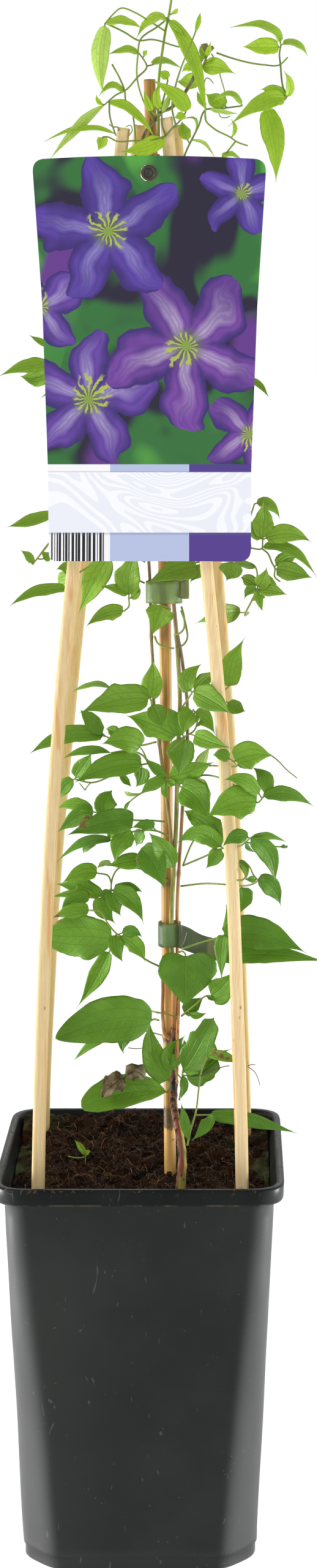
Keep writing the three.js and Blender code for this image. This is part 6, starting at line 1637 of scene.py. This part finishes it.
for name, table, finish, slot in (("tendrils_green", TENDRILS, young_leaf, "leaf"),
                                  ("tendrils_dry", DRY_TENDRILS, rootlet, "dry_leaf")):
    pile = Pile()
    for i, line in enumerate(table.strip().replace("/\n", "/").splitlines()):
        (radius,), *rows = readings(line)
        stalk(pile, rows, radius, (i * 0.31) % 1)
    heap(name, pile, finish, slot)

# %% [markdown]
# ## A dry leaf and a seedling
# A dead leaflet has curled up on the lowest leaf: it is two of the same blades, strongly crumpled, with
# a brown finish. A weed seedling stands on the peat, with three small blades on its two short stalks.

# %% Dry leaf
dry = Finish("dry_leaf_brown", Roughness=0.85, Specular_IOR_Level=0.2)
dry_vein = dry.span(dry.times(dry.absolute(dry.mark("across")), dry.mark("half")), 0.5, 0.1)
brown_leaf = dry.blend(dry.span(dry.grain(180, 5, 0.65), 0.35, 0.65), "3b3222", "776a4c")
brown_leaf = dry.blend(dry.span(dry.grain(90, 3), 0.5, 0.66), brown_leaf, "857f63")
dry.set("Base Color", dry.blend(dry.times(dry_vein, 0.6), brown_leaf, "2d2016"))
dry.bumps((dry.grain(260, 4, 0.6), 0.6), (dry_vein, 0.3))
pile = Pile()
DRY = (  # width, roll, seed, crumple, and readings of the stalk's start, the base, the middle and the tip
    (12, 42, 901, 0.15, "-9 237 -33 / -10.4 236.4 -34 / -15 234 -38 / -21.6 226.6 -42"),
    (9.5, 38, 903, 0.16, "-10.4 236.6 -33 / -9.4 237 -33 / -4 240.4 -34 / 1.4 236.4 -36"),
)
for width, roll, seed, crumple, text in DRY:
    leaf(pile, *places(readings(text)), width, roll, "blunt", seed, crumple)
heap("dead_leaf_curled", pile, dry, "dry_leaf", "dead_leaf")

# %% Seedling
SEAT = np.array([-31, 6, ground(-31, 6) + 1])
CROWN = SEAT + (0, -0.5, 3.2)
pile = Pile()
STALK_ROWS = [SEAT + (0, 0, -2), SEAT, CROWN]
SIDE_ROWS = [CROWN - (0, 0, 1), SEAT + (-5, 0, 1.6), SEAT + (-9.5, 0, 2.4)]
for rows in (STALK_ROWS, SIDE_ROWS):
    pile.add(*tube(flowing(rows, 0.6), 0.36, 7), size=4.0, tone=0.3, **PLAIN_STALK)
BLADES = readings("-6 -1 8 3.4 30 / 2.8 -1 2 2.6 40 / -4 4 2.2 2.4 70")  # way to the tip, width, roll
for i, (x, y, z, width, roll) in enumerate(BLADES):
    base, tip = CROWN + (0.02, 0, 0), CROWN + (x, y, z)
    leaf(pile, CROWN, base, (CROWN + tip) / 2 + (0, 0, 0.8), tip, width, roll, "ovate", 950 + i)
heap("seedling_leaves", pile, young_leaf, "young_leaf", "seedling")

# %% [markdown]
# ## The label
# The hanging card is printed plastic. The solid already has the right outline, so it keeps its mesh, and
# only the print is made here: a picture of violet flowers over soft green, a pale panel and coloured
# bands below it. The flowers are drawn by formulas: the angle round a flower's centre gives the petals
# and the distance gives their length. The print faces the front only, and the back and the edges are
# bare white plastic.

# %% A flower by formula
CARD_FOOT = 518  # height of the card's lower edge
PETALS = 5  # of each flower
card = Finish("label_print", Roughness=0.34, Specular_IOR_Level=0.5)
card_x = card.times(card.axis("X"), 1000)
card_z = card.minus(card.times(card.axis("Z"), 1000), CARD_FOOT)


def within(value, low, high):
    """1 between two places on the card and 0 outside."""
    return card.times(card.above(value, low), card.below(value, high))


def bloom(under, x, z, radius, turn, petal, pale):
    """Paint one flower over what is under it."""
    dx = card.over(card.minus(card_x, x), radius)
    dz = card.over(card.minus(card_z, z), radius)
    r = card.math("SQRT", card.plus(card.times(dx, dx), card.times(dz, dz)))
    curl = card.minus(card.grain(34, 2, 0.5), 0.5)
    ruffle = card.minus(card.grain(150, 3, 0.6), 0.5)
    angle = card.plus(card.math("ARCTAN2", dz, dx), card.times(curl, 1.1))
    turns = card.math("FRACT", card.plus(card.times(angle, PETALS / (2 * math.pi)), turn + 10))
    signed = card.times(card.minus(turns, 0.5), 2 * math.pi / PETALS)
    across = card.absolute(card.times(signed, r))
    reach = card.plus(r, card.plus(card.times(curl, 0.3), card.times(ruffle, 0.2)))
    left = card.math("POWER", card.larger(card.minus(1, reach), 0.0001), 0.52)
    half = card.times(card.times(card.math("POWER", reach, 0.7), left), 0.68)
    edge = card.over(across, card.plus(half, card.times(ruffle, 0.1)))
    mask = card.times(card.span(edge, 1.05, 0.99), card.below(reach, 1))
    mask = card.larger(mask, card.below(r, 0.16))
    lines = card.math("SINE", card.plus(card.times(edge, 19), card.times(ruffle, 5)))
    tone = card.blend(card.span(edge, 0.45, 1.0), petal, "35206b")
    fold = card.span(card.grain(52, 3, 0.6, (1, 1, 0.6)), 0.42, 0.62)
    tone = card.coat(tone, "2f1f66", fold, 0.42)
    stripe = card.times(card.span(edge, 0.42, 0.05), card.span(r, 0.98, 0.25))
    tone = card.coat(tone, pale, stripe, 0.8)
    tone = card.coat(tone, "3d2a78", card.span(lines, 0.1, 1), 0.34)
    rays = card.math("SINE", card.times(card.plus(card.math("ARCTAN2", dz, dx), ruffle), 13))
    stamen = card.times(card.span(rays, 0.1, 0.6), card.span(card.plus(r, curl), 0.24, 0.17))
    tone = card.coat(tone, "5b6b35", card.span(r, 0.3, 0.06), 0.85)
    tone = card.blend(stamen, tone, "a9b552")
    tone = card.blend(card.span(r, 0.07, 0.04), tone, "7d9a3c")
    return card.blend(mask, under, tone)


# %% Picture on the label
haze = card.grain(21, 2, 0.5, (1, 1, 0.7), 0.6)
haze_two = card.grain(15, 1, 0.4, (1.4, 1, 0.8), 0.4)
picture = card.blend(card.span(haze, 0.4, 0.48), "1c1530", "2b6a31")
picture = card.blend(card.span(haze, 0.52, 0.62), picture, "4f9c3c")
picture = card.coat(picture, "86c957", card.span(haze, 0.635, 0.65), 0.8)
picture = card.blend(card.span(haze_two, 0.57, 0.64), picture, "5f3186")
leafy = card.cells(17, (1.25, 1, 0.6))
picture = card.coat(picture, "3a8236", card.span(leafy, 0.3, 0.27), 0.75)
picture = card.coat(picture, "8cc765", card.span(leafy, 0.04, 0.0), 0.5)
BLOOMS = readings("""-53 132 27 0.1 / 57 66 25 0.6 / 53 192 24 0.3 / -27 84 37 0.35 / 24 112 43 0.82 /
    -17 172 41 0.15""")  # x, height, radius and turn
for order, flower in enumerate(BLOOMS):
    hue, pale = (("633f9e", "a99bca"), ("73409c", "b9a6c9"), ("543a9c", "8f84c4"))[order % 3]
    picture = bloom(picture, *flower, hue, pale)

# %% Panel and bands
BAND_TOP, PANEL_TOP, PANEL_LOW = 50.3, 46.2, 14.9  # heights above the card's foot
bars = card.node("TexNoise", noise_dimensions="1D")
card.feed(bars.inputs["W"], card_x)
bars.inputs["Scale"].default_value = 0.9
bars.inputs["Detail"].default_value = 1.0
barred = card.times(within(card_x, -46.2, -18.5), card.above(bars.outputs["Fac"], 0.46))
bands = card.blend(card.above(card_x, -15.6), "eeeef1", "b0bbdc")
bands = card.blend(card.above(card_x, 25.6), bands, "4d3389")
bands = card.blend(card.times(barred, card.below(card_z, PANEL_LOW)), bands, "0c0c0c")
shade = card.larger(within(card_z, PANEL_LOW - 1.2, PANEL_LOW), within(card_z, PANEL_TOP, PANEL_TOP + 0.6))
bands = card.coat(bands, "5d6684", shade, 0.3)
swirl = card.math("SINE", card.times(card.grain(13, 0.4, 0.4, (1, 1, 1.5), 2.2), 80))
panel = card.blend(card.span(swirl, 0.0, 0.25), "e4e6ef", "f0f1f6")
front = card.blend(card.above(card_z, BAND_TOP), bands, picture)
front = card.blend(within(card_z, PANEL_LOW, PANEL_TOP), front, panel)
facing = card.axis("Y", card.node("NewGeometry").outputs["True Normal"])
card.set("Base Color", card.blend(card.below(facing, -0.8), "e2e2e0", front))
card.bumps((card.grain(9, 2), 0.5), (card.grain(700, 2), 0.01))
label = bpy.data.objects["label"]
label.material_slots[0].material = card.material
print("label finish:", len(card.tree.nodes), "nodes")

# %% Peg through the eyelet
knob = Finish("peg_plastic_dark", Roughness=0.4, Specular_IOR_Level=0.5)
knob.set("Base Color", knob.blend(knob.grain(300, 3), "17180f", "3a3b26"))
knob.bumps((knob.grain(700, 3), 0.08))
PEG = readings("""0.01 0.9 / 1 0.85 / 1.15 0.35 / 1.9 0.35 / 2.05 0.75 / 2.5 0.75 / 2.7 0.1 / 3.7 0 /
    4.1 0.2 / 4.2 0.6 / 4.1 1.1 / 3.1 1.5 / 3 10.4 / 2.1 11.3 / 0.01 11.4""")  # radius and depth
PEG_SIDES = 32
PEG_FRONT = (4.2, -32.4, 721)  # middle of the peg's front
peg_points = [(r * c, depth, r * s) for r, depth in PEG for c, s in circle(PEG_SIDES)]
*walls, front, back = hoops(len(PEG), PEG_SIDES)
peg_faces = [(a, d, c, b) for a, b, c, d in walls] + [front[::-1], back[::-1]]
piece("label_peg_turned", np.array(peg_points) + PEG_FRONT, peg_faces, knob, "peg_plastic", "label_peg")
